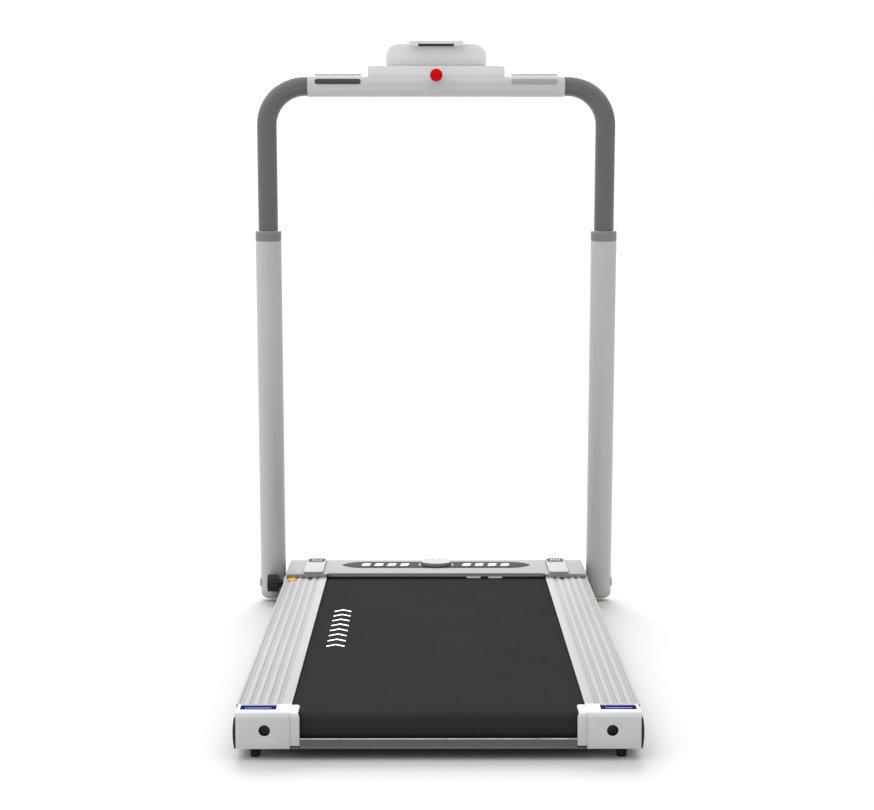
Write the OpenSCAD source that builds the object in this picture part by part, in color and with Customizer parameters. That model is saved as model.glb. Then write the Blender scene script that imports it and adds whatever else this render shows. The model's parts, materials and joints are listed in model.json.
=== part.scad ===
// Flat home treadmill with a folding, height-adjustable hand rail.
// Origin on the floor at the middle of the outline. +Y is the way the user faces, +Z is up.

/* [Deck] */
// Length of the foot rails, from end cap to motor hood
rail_l = 1000; // [800:1:1250]
// Width of one foot rail
rail_w = 80; // [66:1:100]
// Height of the foot rails' top
rail_top = 70; // [70:1:90]
// Thickness of a foot rail's top plate
rail_t = 3; // [2:0.5:3]
// Width of a tread rib on the foot rails
rib_w = 6.4; // [5:0.1:8]
// Pitch of the tread ribs
rib_pitch = 13.4; // [11:0.1:14]
// Height of a tread rib
rib_h = 1.2; // [0.6:0.1:1.5]
// Height of the deck's underside above the floor
base_z = 17; // [12:1:17]
// Length of a rear end cap
cap_l = 50; // [50:1:70]
// Rounding of the end caps' rear edge
cap_round = 9; // [4:1:14]
// Wall of the plastic covers
cover_wall = 3; // [2:0.5:3.5]
// Width of the belt guards beside the end caps
guard_w = 14; // [8:1:20]
// Rounding of the belt guards towards the belt
guard_round = 9; // [4:1:12]
// Bulge of the side panels past the foot rails
panel_bulge = 1.5; // [0.5:0.5:2]

/* [Frame] */
// Width of a side beam
beam_w = 25; // [20:1:30]
// Wall of the side beams
beam_wall = 2.5; // [1.5:0.5:3]
// Height of a cross beam
cross_h = 16; // [10:0.5:18]
// Depth of a cross beam
cross_d = 30; // [20:1:40]
// Thickness of the running board
board_t = 15; // [12:1:18]
// Diameter of a board cushion
cushion_d = 30; // [20:1:40]
// Diameter of a foot at its top
foot_d = 17; // [12:1:20]

/* [Running belt] */
// Width of the belt
belt_w = 440; // [360:1:540]
// Width of the belt's edge hidden under a foot rail
belt_tuck = 7.5; // [4:0.5:10]
// Thickness of the belt
belt_t = 1.6; // [1.2:0.1:2]
// Depth of the belt's top below the rails' top
belt_drop = 4; // [4:0.5:8]
// Diameter of a roller
roller_d = 41.4; // [36:0.1:42]
// Wall of a roller tube
roller_wall = 3; // [2:0.5:4]
// Diameter of a roller axle
axle_d = 12; // [10:1:14]
// Diameter of a tension bolt
bolt_d = 8; // [6:1:8]

/* [Motor hood] */
// Length of the hood
hood_l = 182; // [182:1:230]
// Height of the hood's top above the rails' top
hood_rise = 6.5; // [4:0.5:14]
// Rounding of the hood's front edge
hood_round = 30; // [20:1:30]
// Set-back of the hood's lip over the belt
lip_back = 9; // [4:1:14]
// Gap between the hood's lip and the belt
lip_gap = 3.5; // [2.5:0.5:5]
// Diameter of the motor
motor_d = 48; // [40:1:48]
// Length of the motor
motor_l = 150; // [100:1:160]
// Gap between the display panel and a raised block
display_gap = 33; // [10:1:60]
// Depth of the display panel
display_d = 67; // [60:1:75]
// Diameter of the speed dial
dial_d = 62; // [50:1:62]
// Width of a raised block on the hood
riser_w = 38; // [26:1:42]
// Height of a raised block on the hood
riser_h = 4.5; // [2.5:0.5:8]
// Diameter of a transport wheel
wheel_d = 40; // [34:1:40]
// Width of a transport wheel
wheel_w = 14; // [8:1:14]

/* [Uprights] */
// Gap between a foot rail's side and a post
post_clear = 8.5; // [8.5:0.5:20]
// Outer diameter of a post
post_d = 50; // [44:1:50]
// Wall of a post
post_wall = 2; // [1.5:0.5:3]
// Length of a post above its pivot
post_l = 686; // [560:1:760]
// Length of a post's foot below its pivot
heel_l = 31; // [27:1:31]
// Lean of the posts towards the user
lean = 5; // [0:0.5:8]
// Distance of the pivot in front of the foot rails
pivot_back = 130; // [110:1:140]
// Height of the pivot
pivot_z = 38; // [38:1:44]
// Diameter of the pivot pin
pivot_d = 10; // [8:1:12]
// Length of the visible part of a collar
collar_l = 20; // [12:1:30]
// Diameter of the lock knob
knob_d = 34; // [26:1:34]
// Length of the lock knob
knob_l = 22; // [16:1:26]
// Diameter of the lock knob's neck
neck_d = 18; // [12:1:20]
// Distance of the lock knob's axis behind the posts
lock_clear = 20; // [20:1:30]

/* [Hand rail] */
// Diameter of the hand rail's tube
tube_d = 38; // [32:1:40]
// Wall of the hand rail's tube
tube_wall = 2; // [1.5:0.5:3]
// Height of the crossbar above the pivot, along the posts
bar_l = 983; // [860:1:1050]
// Bend radius of the hand rail's corners
bend_r = 75; // [60:1:90]
// Length of tube inside a post
tube_in = 186; // [170:1:260]
// Height of the crossbar cover
cover_h = 41; // [41:0.5:46]
// Depth of the crossbar cover
cover_d = 50; // [46:1:60]
// Length of a pulse plate
plate_l = 88; // [60:1:100]
// Width of a pulse plate
plate_w = 9.6; // [6:0.1:12]
// Gap between the console tray and the raised pad at each end of the bar
pad_gap = 13.5; // [6:0.5:24]
// Depth of the console tray
tray_d = 60; // [56:1:70]
// Height of the console tray
tray_h = 18; // [16:0.5:20]
// Distance of the phone rest's ends from the ends of the tray
rest_inset = 34.5; // [24:0.5:40]
// Height of the phone rest above the tray
rest_h = 41; // [36:1:70]
// Width of the phone clip
clip_w = 103; // [80:1:110]
// Diameter of the stop button
button_d = 24; // [18:1:26]
// Tilt of the stop button
button_tilt = 10; // [0:1:12]

/* [Hidden] */
$fn = 96;

// Clearance of a moving curved face, of a sliding tube and of a running pin
gap = 0.3;
pin_fit = 0.05;

// Places along the deck
rail_in = belt_w / 2 - belt_tuck;
half_w = rail_in + rail_w;
half_l = (cap_l + rail_l + hood_l) / 2;
rear_y = -half_l;
cap_y = rear_y + cap_l;
hood_y = cap_y + rail_l;
front_y = half_l;

// Side beams stand on the covers' floors, under the foot rails
floor_t = cover_wall;
beam_z = base_z + floor_t;
beam_top = rail_top - 8;
beam_in = belt_w / 2 + 16;
beam_out = beam_in + beam_w;
beam_mid = (beam_in + beam_out) / 2;
beam_rear = rear_y + 12;
beam_front = front_y - 14;
skin = half_w - cover_wall;
panel_t = cover_wall + panel_bulge;

// Rollers and running board
belt_top = rail_top - belt_drop;
roller_r = roller_d / 2;
roller_in = roller_r - roller_wall;
belt_in_r = roller_r + gap;
belt_out_r = belt_in_r + belt_t;
roller_z = belt_top - belt_out_r;
roller_half = belt_w / 2 + 2;
rear_roller_y = rear_y + belt_out_r + 5.5;
front_roller_y = hood_y + 43;
board_top = belt_top - belt_t;
board_z = board_top - board_t;
board_half = beam_in - 4;
cross_z = roller_z - belt_out_r + belt_t + 2.6;
cross_top = cross_z + cross_h;
cross_count = 4;
bearing_w = 12;

// Motor and its belt, to the right of the middle
hood_top = rail_top + hood_rise;
motor_r = motor_d / 2;
motor_y = front_roller_y + 57;
motor_z = base_z + floor_t + 2 + motor_r;
shaft_r = 4;
pulley_in = roller_half + 1;
motor_x = pulley_in - 23 - motor_l;
pulley_w = beam_in - 3 - pulley_in;
drive_r = 16;
motor_pulley_r = 8;
drive_belt_t = 1.5;

// Uprights
post_r = post_d / 2;
post_x = half_w + post_clear + post_r;
pivot_y = hood_y + pivot_back;
pivot_r = pivot_d / 2;
plate_t = 4;
plate_out = post_x - post_r;
plate_in = plate_out - plate_t;
plug_l = 16;
heel_round = 9;
lock_back = post_r + lock_clear;
lock_r = 4;
washer_t = 1.5;
knob_x = plate_out + washer_t;
neck_l = 9.5;
collar_in = 40;
tube_r = tube_d / 2;
cap_proud = 2;
cap_r = 10;

// Hand rail, in the uprights' own frame
bar_z = bar_l;
straight = post_x - bend_r;
bar_half = straight - 5;
cover_round = 16;
tray_z = bar_z + cover_h / 2;
tray_y = -16;
tray_top = tray_z + tray_h;
boss_y = -cover_d / 2 - 8;
button_z = bar_z + 20;
button_r = button_d / 2;
button_t = 8;
button_gap = 5.5;
button_stem = 5;
plate_near = bar_half - 14 - plate_l;
tray_w = 2 * (plate_near - pad_gap);
rest_w = tray_w - 2 * rest_inset;
rest_t = 5;
rest_y = 8;
rest_top = tray_top + rest_h;
clip_t = 6;

// Hood fittings
display_y = hood_y + 98.5;
display_t = 0.8;
dial_r = dial_d / 2;
ring_r = dial_r + 4;
ring_t = 0.4;
dial_t = 6.8;
dial_shaft_r = 3;
riser_x = rail_in + 7.5 + riser_w / 2;
display_w = 2 * (riser_x - riser_w / 2 - display_gap);
riser_l = 150;
insert_l = 38;
insert_t = 1.5;
wheel_r = wheel_d / 2;
wheel_x = (beam_out + skin) / 2;
wheel_y = front_y - cover_wall - 2 - wheel_r;
wheel_z = wheel_r + 3.2;
screw_x = beam_mid - 4;
screw_y = hood_y - 10.5;
screw_r = 7;
inlet_x = -180;
inlet_w = 90;
inlet_h = 24;
inlet_z = base_z + 4;
rocker_x = inlet_x + 68;
rocker_w = 19;
rocker_h = 13;

// Extrudes a (Y, Z) outline along X from x0 to x1
module along_x(x0, x1) {
  translate([x0, 0, 0])
    rotate([90, 0, 90])
      linear_extrude(x1 - x0) children();
}

// Extrudes an (X, Z) outline along Y from y0 to y1
module along_y(y0, y1) {
  translate([0, y1, 0])
    rotate([90, 0, 0])
      linear_extrude(y1 - y0) children();
}

// A round bar along X
module bar_x(x0, x1, y, z, r) {
  translate([x0, y, z])
    rotate([0, 90, 0]) cylinder(h = x1 - x0, r = r);
}

// A round bar along Y
module bar_y(y0, y1, x, z, r) {
  translate([x, y0, z])
    rotate([-90, 0, 0]) cylinder(h = y1 - y0, r = r);
}

// A box given by its lowest and highest corners
module span(a, b) {
  translate(a) cube(b - a);
}

// A shape together with its mirror image
module both() {
  children();
  mirror([1, 0, 0]) children();
}

// A rectangle with its corners rounded
module round_rect(w, h, r) {
  square([w - 2 * r, h], center = true);
  square([w, h - 2 * r], center = true);
  for (sx = [-1, 1], sy = [-1, 1])
    translate([sx * (w / 2 - r), sy * (h / 2 - r)]) circle(r);
}

// Moves its children into the uprights' frame: origin at the pivot, +Z up the posts
module on_posts() {
  translate([0, pivot_y, pivot_z])
    rotate([lean, 0, 0]) children();
}

// ---- Frame and running deck ----

// Steel box beam on the user's right, with a slot for the rear axle
module side_frame() {
  slot_l = 44;
  end_y = beam_rear + 4;
  difference() {
    span([beam_in, beam_rear, beam_z], [beam_out, beam_front, beam_top]);
    span([beam_in + beam_wall, end_y, beam_z + beam_wall],
         [beam_out - beam_wall, beam_front + 1, beam_top - beam_wall]);
    span([beam_in - 1, end_y, roller_z - axle_d / 2],
         [beam_out + 1, beam_rear + slot_l, roller_z + axle_d / 2]);
    bar_x(beam_in - 1, beam_out + 1, front_roller_y, roller_z, axle_d / 2);
    bar_x(beam_in - 1, beam_out + 1, pivot_y, pivot_z, pivot_r);
    bar_y(beam_rear - 1, end_y + 1, beam_mid, roller_z, bolt_d / 2 + gap);
  }
}

module side_frame_left() {
  color("dimgray") mirror([1, 0, 0]) side_frame();
}

module side_frame_right() {
  color("dimgray") side_frame();
}

function cross_y(i) = cap_y + 80 + i * (rail_l - 130) / (cross_count - 1);

// Flat steel beams between the two runs of the belt
module cross_members() {
  color("dimgray")
    for (i = [0 : cross_count - 1])
      difference() {
        span([-beam_in, cross_y(i) - cross_d / 2, cross_z],
             [beam_in, cross_y(i) + cross_d / 2, cross_top]);
        span([-beam_in - 1, cross_y(i) - cross_d / 2 + 2, cross_z + 2],
             [beam_in + 1, cross_y(i) + cross_d / 2 - 2, cross_top - 2]);
      }
}

module running_deck() {
  color("burlywood")
    span([-board_half, rear_roller_y + belt_out_r + 5, board_z],
         [board_half, front_roller_y - belt_out_r - 5, board_top]);
}

module deck_cushions() {
  color("darkslategray")
    for (i = [0 : cross_count - 1], x = [-150, 150])
      translate([x, cross_y(i), cross_top])
        cylinder(h = board_z - cross_top, d = cushion_d);
}

module loop_outline(r) {
  for (y = [rear_roller_y, front_roller_y])
    translate([y, roller_z]) circle(r);
  translate([rear_roller_y, roller_z - r])
    square([front_roller_y - rear_roller_y, 2 * r]);
}

module running_belt() {
  color("#3c3c3f")
    along_x(-belt_w / 2, belt_w / 2)
      difference() {
        loop_outline(belt_out_r);
        loop_outline(belt_in_r);
      }
}

// ---- Foot rails, end caps and side panels ----

module rail_outline() {
  first_rib = 12;
  outer_rib = 3.5;
  inner_rib = 14;
  ribs = floor((rail_w - first_rib - inner_rib + rib_pitch - rib_w) / rib_pitch);
  sink = 0.01;
  translate([rail_in, rail_top - rail_t]) square([rail_w, rail_t - rib_h]);
  for (i = [0 : ribs - 1])
    translate([half_w - first_rib - rib_w - i * rib_pitch, rail_top - rib_h - sink])
      square([rib_w, rib_h + sink]);
  translate([half_w - outer_rib, rail_top - rib_h - sink]) square([outer_rib, rib_h + sink]);
  translate([rail_in, rail_top - rib_h - sink]) square([inner_rib, rib_h + sink]);
  for (x = [beam_in + 2, beam_out - 5])
    translate([x, beam_top]) square([3, rail_top - rail_t - beam_top]);
  translate([skin, beam_top]) square([cover_wall, rail_top - rail_t - beam_top]);
}

module foot_rail() {
  difference() {
    along_y(cap_y, hood_y) rail_outline();
    translate([screw_x, screw_y, rail_top - 3.2]) cylinder(h = 4, r = screw_r + 0.1);
    translate([screw_x, screw_y, beam_top - 1]) cylinder(h = 12, r = 2.6);
  }
}

module foot_rail_left() {
  color("gainsboro") mirror([1, 0, 0]) foot_rail();
}

module foot_rail_right() {
  color("gainsboro") foot_rail();
}

// Bowed plastic skins below the foot rails' outer edges
module side_panels() {
  bow = 130;
  height = beam_top - base_z;
  color("#1c1c1e")
    both()
      along_y(rear_y + 1.5, hood_y)
        intersection() {
          translate([skin, base_z]) square([panel_t, height]);
          translate([skin + panel_t - bow, base_z + height / 2]) circle(bow, $fn = 360);
        }
}

// Side view of an end cap, drawn in by inset from its outer faces
module cap_outline(inset) {
  r = cap_round - inset;
  low = base_z + inset;
  high = rail_top - inset;
  back = rear_y + inset;
  translate([back, low]) square([cap_y - back, high - r - low]);
  translate([back + r, low]) square([cap_y - back - r, high - low]);
  translate([back + r, high - r]) circle(r);
}

module end_cap() {
  wall = 2.5;
  difference() {
    along_x(rail_in, skin) cap_outline(0);
    along_x(rail_in + wall, skin - wall) {
      cap_outline(cover_wall);
      translate([cap_y - 5, base_z + cover_wall])
        square([6, rail_top - base_z - 2 * cover_wall]);
    }
    span([rail_in - 1, cap_y - 6, base_z + cover_wall],
         [rail_in + wall + 1, cap_y + 1, rail_top - cover_wall]);
    bar_y(rear_y - 1, rear_y + 8, beam_mid, roller_z, 8.25);
    span([rail_in - 1, rear_roller_y - axle_d / 2 - 6, roller_z - axle_d / 2 - 0.5],
         [rail_in + wall + 1, rear_roller_y + axle_d / 2 + 14, roller_z + axle_d / 2 + 0.5]);
    span([rail_in - 1, rear_roller_y - belt_out_r - 2, base_z + cover_wall],
         [belt_w / 2 + 3, cap_y + 1, belt_top + 0.8]);
  }
  for (x = [beam_in, beam_out - 3])
    span([x, beam_rear + 2, beam_top], [x + 3, cap_y, rail_top - cover_wall]);
}

module end_cap_left() {
  color("whitesmoke") mirror([1, 0, 0]) end_cap();
}

module end_cap_right() {
  color("whitesmoke") end_cap();
}

// Curved guards that cover the belt's edges at the rear roller
module belt_guards() {
  step = 1.2;
  wall = 2;
  color("whitesmoke")
    both()
      difference() {
        intersection() {
          along_x(rail_in - guard_w, rail_in) cap_outline(step);
          along_y(rear_y - 1, cap_y + 1) {
            square([rail_in - guard_w + guard_round, rail_top - guard_round]);
            translate([rail_in - guard_w + guard_round, 0]) square([guard_w, rail_top + 1]);
            translate([rail_in - guard_w + guard_round, rail_top - guard_round])
              circle(guard_round);
          }
        }
        along_x(rail_in - guard_w - 1, rail_in + 1) {
          cap_outline(step + wall);
          translate([cap_y - 5, base_z + 2])
            square([6, rail_top - step - wall - base_z - 2]);
          translate([rear_y - 1, base_z - 1]) square([cap_l + 2, 5]);
        }
      }
}

module feet() {
  color("#232325")
    both()
      for (p = [[half_w - 29, rear_y + 25], [beam_mid, front_y - 76]])
        translate([p[0], p[1], 0])
          cylinder(h = base_z, d1 = foot_d - 3, d2 = foot_d);
}

// Sheet tray under the rear roller, with an upturned lip that ends in a bead
module rear_pan() {
  sheet = 1.5;
  lip_h = 14;
  lip_y = rear_y + 1.5;
  lip_half = rail_in - guard_w - 0.5;
  bead_r = 1;
  color("silver") {
    span([-rail_in, rear_y + 0.5, base_z], [rail_in, rear_y + 84, base_z + sheet]);
    span([-lip_half, lip_y, base_z], [lip_half, lip_y + 1, base_z + lip_h]);
    bar_x(-lip_half, lip_half, lip_y + 0.5, base_z + lip_h, bead_r);
  }
}

// ---- Rollers ----

// Round axle with a cross hole at each end for the tension bolts
module rear_roller_axle() {
  color("silver")
    difference() {
      bar_x(-beam_out + 1, beam_out - 1, rear_roller_y, roller_z, axle_d / 2);
      for (x = [-beam_mid, beam_mid])
        bar_y(rear_roller_y - axle_d, rear_roller_y + axle_d, x, roller_z, bolt_d / 2 + pin_fit);
    }
}

module front_roller_axle() {
  color("silver")
    bar_x(-beam_out, beam_out, front_roller_y, roller_z, axle_d / 2);
}

module roller_tube(y) {
  color("silver")
    difference() {
      bar_x(-roller_half, roller_half, y, roller_z, roller_r);
      bar_x(-roller_half - 1, roller_half + 1, y, roller_z, roller_in);
    }
}

module roller_bearings(y) {
  color("slategray")
    both()
      difference() {
        bar_x(roller_half - bearing_w - 2, roller_half - 2, y, roller_z, roller_in);
        bar_x(0, roller_half + 1, y, roller_z, axle_d / 2 + pin_fit);
      }
}

module front_roller_tube() {
  roller_tube(front_roller_y);
}

module rear_roller_tube() {
  roller_tube(rear_roller_y);
}

module front_roller_bearings() {
  roller_bearings(front_roller_y);
}

module rear_roller_bearings() {
  roller_bearings(rear_roller_y);
}

// Belt pulley against the end of the front roller
module roller_pulley() {
  color("dimgray")
    difference() {
      union() {
        bar_x(roller_half, roller_half + 1, front_roller_y, roller_z, roller_r - 1);
        bar_x(roller_half + 1, pulley_in + pulley_w, front_roller_y, roller_z, drive_r);
      }
      bar_x(roller_half - 1, beam_in, front_roller_y, roller_z, axle_d / 2 + pin_fit);
    }
}

// Hex-headed bolt that pulls the rear axle back
module tension_bolt() {
  head_y = beam_rear - 6;
  color("silver")
    difference() {
      union() {
        bar_y(beam_rear - 0.01, rear_roller_y + 16, beam_mid, roller_z, bolt_d / 2);
        translate([beam_mid, head_y, roller_z])
          rotate([-90, 0, 0]) cylinder(h = 6, r = 7, $fn = 48);
      }
      translate([beam_mid, head_y - 1, roller_z])
        rotate([-90, 0, 0]) cylinder(h = 4.5, r = 3.4, $fn = 6);
    }
}

module tension_bolt_left() {
  translate([-2 * beam_mid, 0, 0]) tension_bolt();
}

module tension_bolt_right() {
  tension_bolt();
}

// ---- Motor and drive ----

module motor_housing() {
  wall = 3;
  color("#2b2b2e")
    difference() {
      bar_x(motor_x, motor_x + motor_l, motor_y, motor_z, motor_r);
      bar_x(motor_x + wall, motor_x + motor_l - wall, motor_y, motor_z, motor_r - wall);
      bar_x(motor_x - 1, motor_x + motor_l + 1, motor_y, motor_z, shaft_r + pin_fit);
    }
}

module motor_armature() {
  color("goldenrod") {
    bar_x(motor_x - 6, pulley_in + pulley_w, motor_y, motor_z, shaft_r);
    bar_x(motor_x + 18, motor_x + motor_l - 18, motor_y, motor_z, motor_r - 6);
  }
}

module motor_pulley() {
  color("dimgray")
    difference() {
      bar_x(pulley_in, pulley_in + pulley_w, motor_y, motor_z, motor_pulley_r);
      bar_x(pulley_in - 1, beam_in, motor_y, motor_z, shaft_r);
    }
}

// Saddle under the motor
module motor_bracket() {
  color("silver")
    difference() {
      span([motor_x + 20, motor_y - 30, base_z + floor_t],
           [motor_x + motor_l - 20, motor_y + 30, motor_z - 8]);
      bar_x(motor_x, motor_x + motor_l, motor_y, motor_z, motor_r);
    }
}

module belt_run(r0, r1) {
  hull() {
    translate([front_roller_y, roller_z]) circle(r0, $fn = 48);
    translate([motor_y, motor_z]) circle(r1, $fn = 48);
  }
}

module drive_belt() {
  inner = drive_r + gap;
  small = motor_pulley_r + gap;
  color("#202022")
    along_x(pulley_in + 0.5, pulley_in + pulley_w - 0.5)
      difference() {
        belt_run(inner + drive_belt_t, small + drive_belt_t);
        belt_run(inner, small);
      }
}

// Circuit board on standoffs with a finned heat sink
module motor_controller() {
  low = base_z + floor_t;
  board = [[36 - beam_in, motor_y - 34], [166 - beam_in, motor_y + 34]];
  fin_h = 22;
  for (x = [board[0][0] + 5, board[1][0] - 5], y = [board[0][1] + 5, board[1][1] - 5])
    color("gold") translate([x, y, low]) cylinder(h = 4, r = 3);
  color("darkgreen")
    span([board[0][0], board[0][1], low + 4], [board[1][0], board[1][1], low + 5.6]);
  color("silver") {
    span([board[0][0] + 10, board[0][1] + 8, low + 5.6],
         [board[0][0] + 60, board[1][1] - 8, low + 8.6]);
    for (i = [0 : 6])
      translate([board[0][0] + 10 + i * 8, board[0][1] + 8, low + 8.6])
        cube([2, board[1][1] - board[0][1] - 16, fin_h]);
  }
}

// ---- Motor hood ----

// Side view of the hood, drawn in by inset from its outer faces
module hood_outline(inset) {
  r = hood_round - inset;
  top = hood_top - inset;
  front = front_y - inset;
  translate([hood_y, base_z]) square([front - hood_y, top - r - base_z]);
  translate([hood_y, base_z]) square([front - r - hood_y, top - base_z]);
  intersection() {
    translate([front - r, top - r]) circle(r);
    translate([front - r, top - r]) square(r + 1);
  }
}

module motor_hood() {
  color("whitesmoke") {
    difference() {
      along_x(-half_w, half_w) hood_outline(0);
      along_x(-skin, skin) {
        hood_outline(cover_wall);
        translate([hood_y - 1, base_z - 1]) square([lip_back + 20, rail_top - base_z + 1]);
      }
      translate([0, hood_y, rail_top - 3])
        linear_extrude(hood_rise + 4)
          round_rect(2 * rail_in, 2 * lip_back, lip_back - 1);
      for (x = [-half_w - 1, skin - 1])
        bar_x(x, x + cover_wall + 2, pivot_y, pivot_z, 11);
      translate([0, display_y, hood_top - cover_wall - 1])
        cylinder(h = cover_wall + 2, r = dial_shaft_r + gap);
      span([inlet_x, front_y - cover_wall - 1, inlet_z],
           [inlet_x + inlet_w, front_y + 1, inlet_z + inlet_h]);
    }
    both() {
      span([rail_in + 0.5, hood_y, rail_top], [skin, hood_y + 3, hood_top - cover_wall]);
      for (x = [beam_in + 1, beam_out - 4])
        span([x, hood_y + 3, beam_top], [x + 3, front_y - 34, hood_top - cover_wall]);
    }
  }
}

// Strip clipped under the hood's edge, close above the belt
module hood_lip() {
  y = hood_y + lip_back + 0.5;
  color("whitesmoke")
    span([1 - rail_in, y, belt_top + lip_gap],
         [rail_in - 1, y + cover_wall, hood_top - cover_wall]);
}

// Floor of the motor bay, open around the transport wheels
module belly_pan() {
  color("#2a2a2c")
    difference() {
      span([-skin, hood_y, base_z], [skin, front_y - cover_wall, base_z + floor_t]);
      for (s = [-1, 1])
        translate([s * wheel_x, wheel_y, base_z])
          cube([wheel_w + 3, wheel_d + 4, 4 * floor_t], center = true);
    }
}

module hood_risers() {
  color("white")
    both()
      difference() {
        translate([riser_x, hood_y + riser_l / 2, hood_top])
          linear_extrude(riser_h) round_rect(riser_w, riser_l, 8);
        translate([riser_x, hood_y + riser_l - insert_l / 2 - 3, hood_top + riser_h - insert_t])
          linear_extrude(insert_t + 1) round_rect(riser_w - 6, insert_l, 6);
      }
}

module riser_inserts() {
  color("gray")
    both()
      translate([riser_x, hood_y + riser_l - insert_l / 2 - 3, hood_top + riser_h - insert_t])
        linear_extrude(insert_t + 0.3) round_rect(riser_w - 6.4, insert_l - 0.4, 5.8);
}

// Panel with ends drawn to a point by two arcs
module display_outline() {
  half_d = display_d / 2;
  nose = 47;
  arc_r = (nose * nose + half_d * half_d) / display_d;
  x = display_w / 2 - nose;
  square([2 * x, display_d], center = true);
  for (s = [-1, 1])
    intersection() {
      translate([s * x, half_d - arc_r]) circle(arc_r, $fn = 180);
      translate([s * x, arc_r - half_d]) circle(arc_r, $fn = 180);
      translate([s * x + (s - 1) * nose, -half_d]) square([2 * nose, display_d]);
    }
}

module display_panel() {
  color("gray")
    translate([0, display_y, hood_top])
      linear_extrude(display_t)
        difference() {
          display_outline();
          circle(dial_shaft_r + gap);
        }
}

module dial_ring() {
  color("#202022")
    translate([0, display_y, hood_top + display_t])
      difference() {
        cylinder(h = ring_t, r = ring_r);
        translate([0, 0, -1]) cylinder(h = ring_t + 2, r = dial_shaft_r + gap);
      }
}

// Dished speed dial on its shaft
module speed_dial() {
  low = hood_top + display_t + ring_t + gap;
  bowl = 220;
  color("silver")
    translate([0, display_y, 0])
      difference() {
        union() {
          translate([0, 0, low]) cylinder(h = dial_t - 1.5, r = dial_r);
          translate([0, 0, low + dial_t - 1.5])
            cylinder(h = 1.5, r1 = dial_r, r2 = dial_r - 1.5);
          translate([0, 0, hood_top - 10]) cylinder(h = low + 11 - hood_top, r = dial_shaft_r);
        }
        translate([0, 0, low + dial_t - 1.8 + bowl]) sphere(bowl, $fn = 360);
      }
}

// Appliance inlet and the seat of the power switch, set in the hood's front
module power_inlet() {
  plug_w = 24;
  plug_h = 16;
  plug_deep = 16;
  front = front_y - cover_wall;
  color("#1b1b1d")
    difference() {
      union() {
        span([inlet_x, front, inlet_z], [inlet_x + inlet_w, front_y, inlet_z + inlet_h]);
        span([inlet_x + 6, front - plug_deep, inlet_z + 2],
             [inlet_x + 10 + plug_w, front, inlet_z + 6 + plug_h]);
        span([rocker_x - rocker_w / 2 - 2, front - plug_deep, inlet_z + 3],
             [rocker_x + rocker_w / 2 + 2, front, inlet_z + 7 + rocker_h]);
      }
      span([inlet_x + 8, front_y - plug_deep, inlet_z + 4],
           [inlet_x + 8 + plug_w, front_y + 1, inlet_z + 4 + plug_h]);
      span([rocker_x - rocker_w / 2, front_y - plug_deep + 1, inlet_z + 5],
           [rocker_x + rocker_w / 2, front_y + 1, inlet_z + 5 + rocker_h]);
    }
  color("silver")
    for (i = [-1 : 1])
      translate([inlet_x + 8 + plug_w / 2 + 7 * i, front_y - plug_deep / 2 - 1,
                 inlet_z + 12 + (i == 0 ? 3 : -1)])
        cube([2, plug_deep - 2, 4], center = true);
}

// Rocker with two wings either side of its pivot line
module rocker_switch() {
  color("#b3131c")
    along_x(rocker_x - rocker_w / 2 + 0.6, rocker_x + rocker_w / 2 - 0.6)
      intersection() {
        translate([front_y - 7, inlet_z + 5 + 0.8]) square([8, rocker_h - 1.6]);
        difference() {
          translate([front_y - 6, inlet_z + 5 + rocker_h / 2]) circle(5.9);
          translate([front_y + 11, inlet_z + 5 + rocker_h / 2]) circle(12);
        }
      }
}

// ---- Wheels and pivots ----

module wheel_axles() {
  color("silver")
    both() {
      bar_x(beam_out, skin - 3, wheel_y, wheel_z, 3);
      span([beam_out, wheel_y - 8, beam_z], [beam_out + 2, beam_front, beam_z + 16]);
    }
}

module transport_wheel() {
  color("#1f1f21")
    difference() {
      bar_x(wheel_x - wheel_w / 2, wheel_x + wheel_w / 2, wheel_y, wheel_z, wheel_r);
      bar_x(wheel_x - wheel_w, wheel_x + wheel_w, wheel_y, wheel_z, 3 + pin_fit);
    }
}

module transport_wheel_left() {
  mirror([1, 0, 0]) transport_wheel();
}

module transport_wheel_right() {
  transport_wheel();
}

// Shouldered pins that carry the posts
module pivot_pins() {
  pin_end = post_x + post_r - 1.5;
  color("silver")
    both() {
      bar_x(beam_in - 4, pin_end, pivot_y, pivot_z, pivot_r);
      bar_x(beam_out, plate_in - gap, pivot_y, pivot_z, pivot_r + 4);
      bar_x(beam_in - 8, beam_in, pivot_y, pivot_z, pivot_r + 3);
    }
}

module casing_screws() {
  sink = 3.2;
  color("#2a2a2c")
    both()
      difference() {
        union() {
          translate([screw_x, screw_y, rail_top - sink]) cylinder(h = sink - 0.2, r = screw_r);
          translate([screw_x, screw_y, beam_top]) cylinder(h = rail_top - sink - beam_top, r = 2.5);
        }
        translate([screw_x, screw_y, rail_top - 2])
          cylinder(h = 3, r = 2.5, $fn = 6);
      }
}

// ---- Uprights ----

module post_right_solid() {
  difference() {
    translate([post_x, 0, plug_l - heel_l]) cylinder(h = post_l + heel_l - plug_l, r = post_r);
    translate([post_x, 0, plug_l - heel_l - 1])
      cylinder(h = post_l + heel_l - plug_l + 2, r = post_r - post_wall);
    bar_x(post_x - post_r - 1, post_x + post_r + 1, 0, 0, pivot_r + pin_fit);
  }
}

module post_left() {
  color("silver") on_posts() mirror([1, 0, 0]) post_right_solid();
}

module post_right() {
  color("silver") on_posts() post_right_solid();
}

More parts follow.
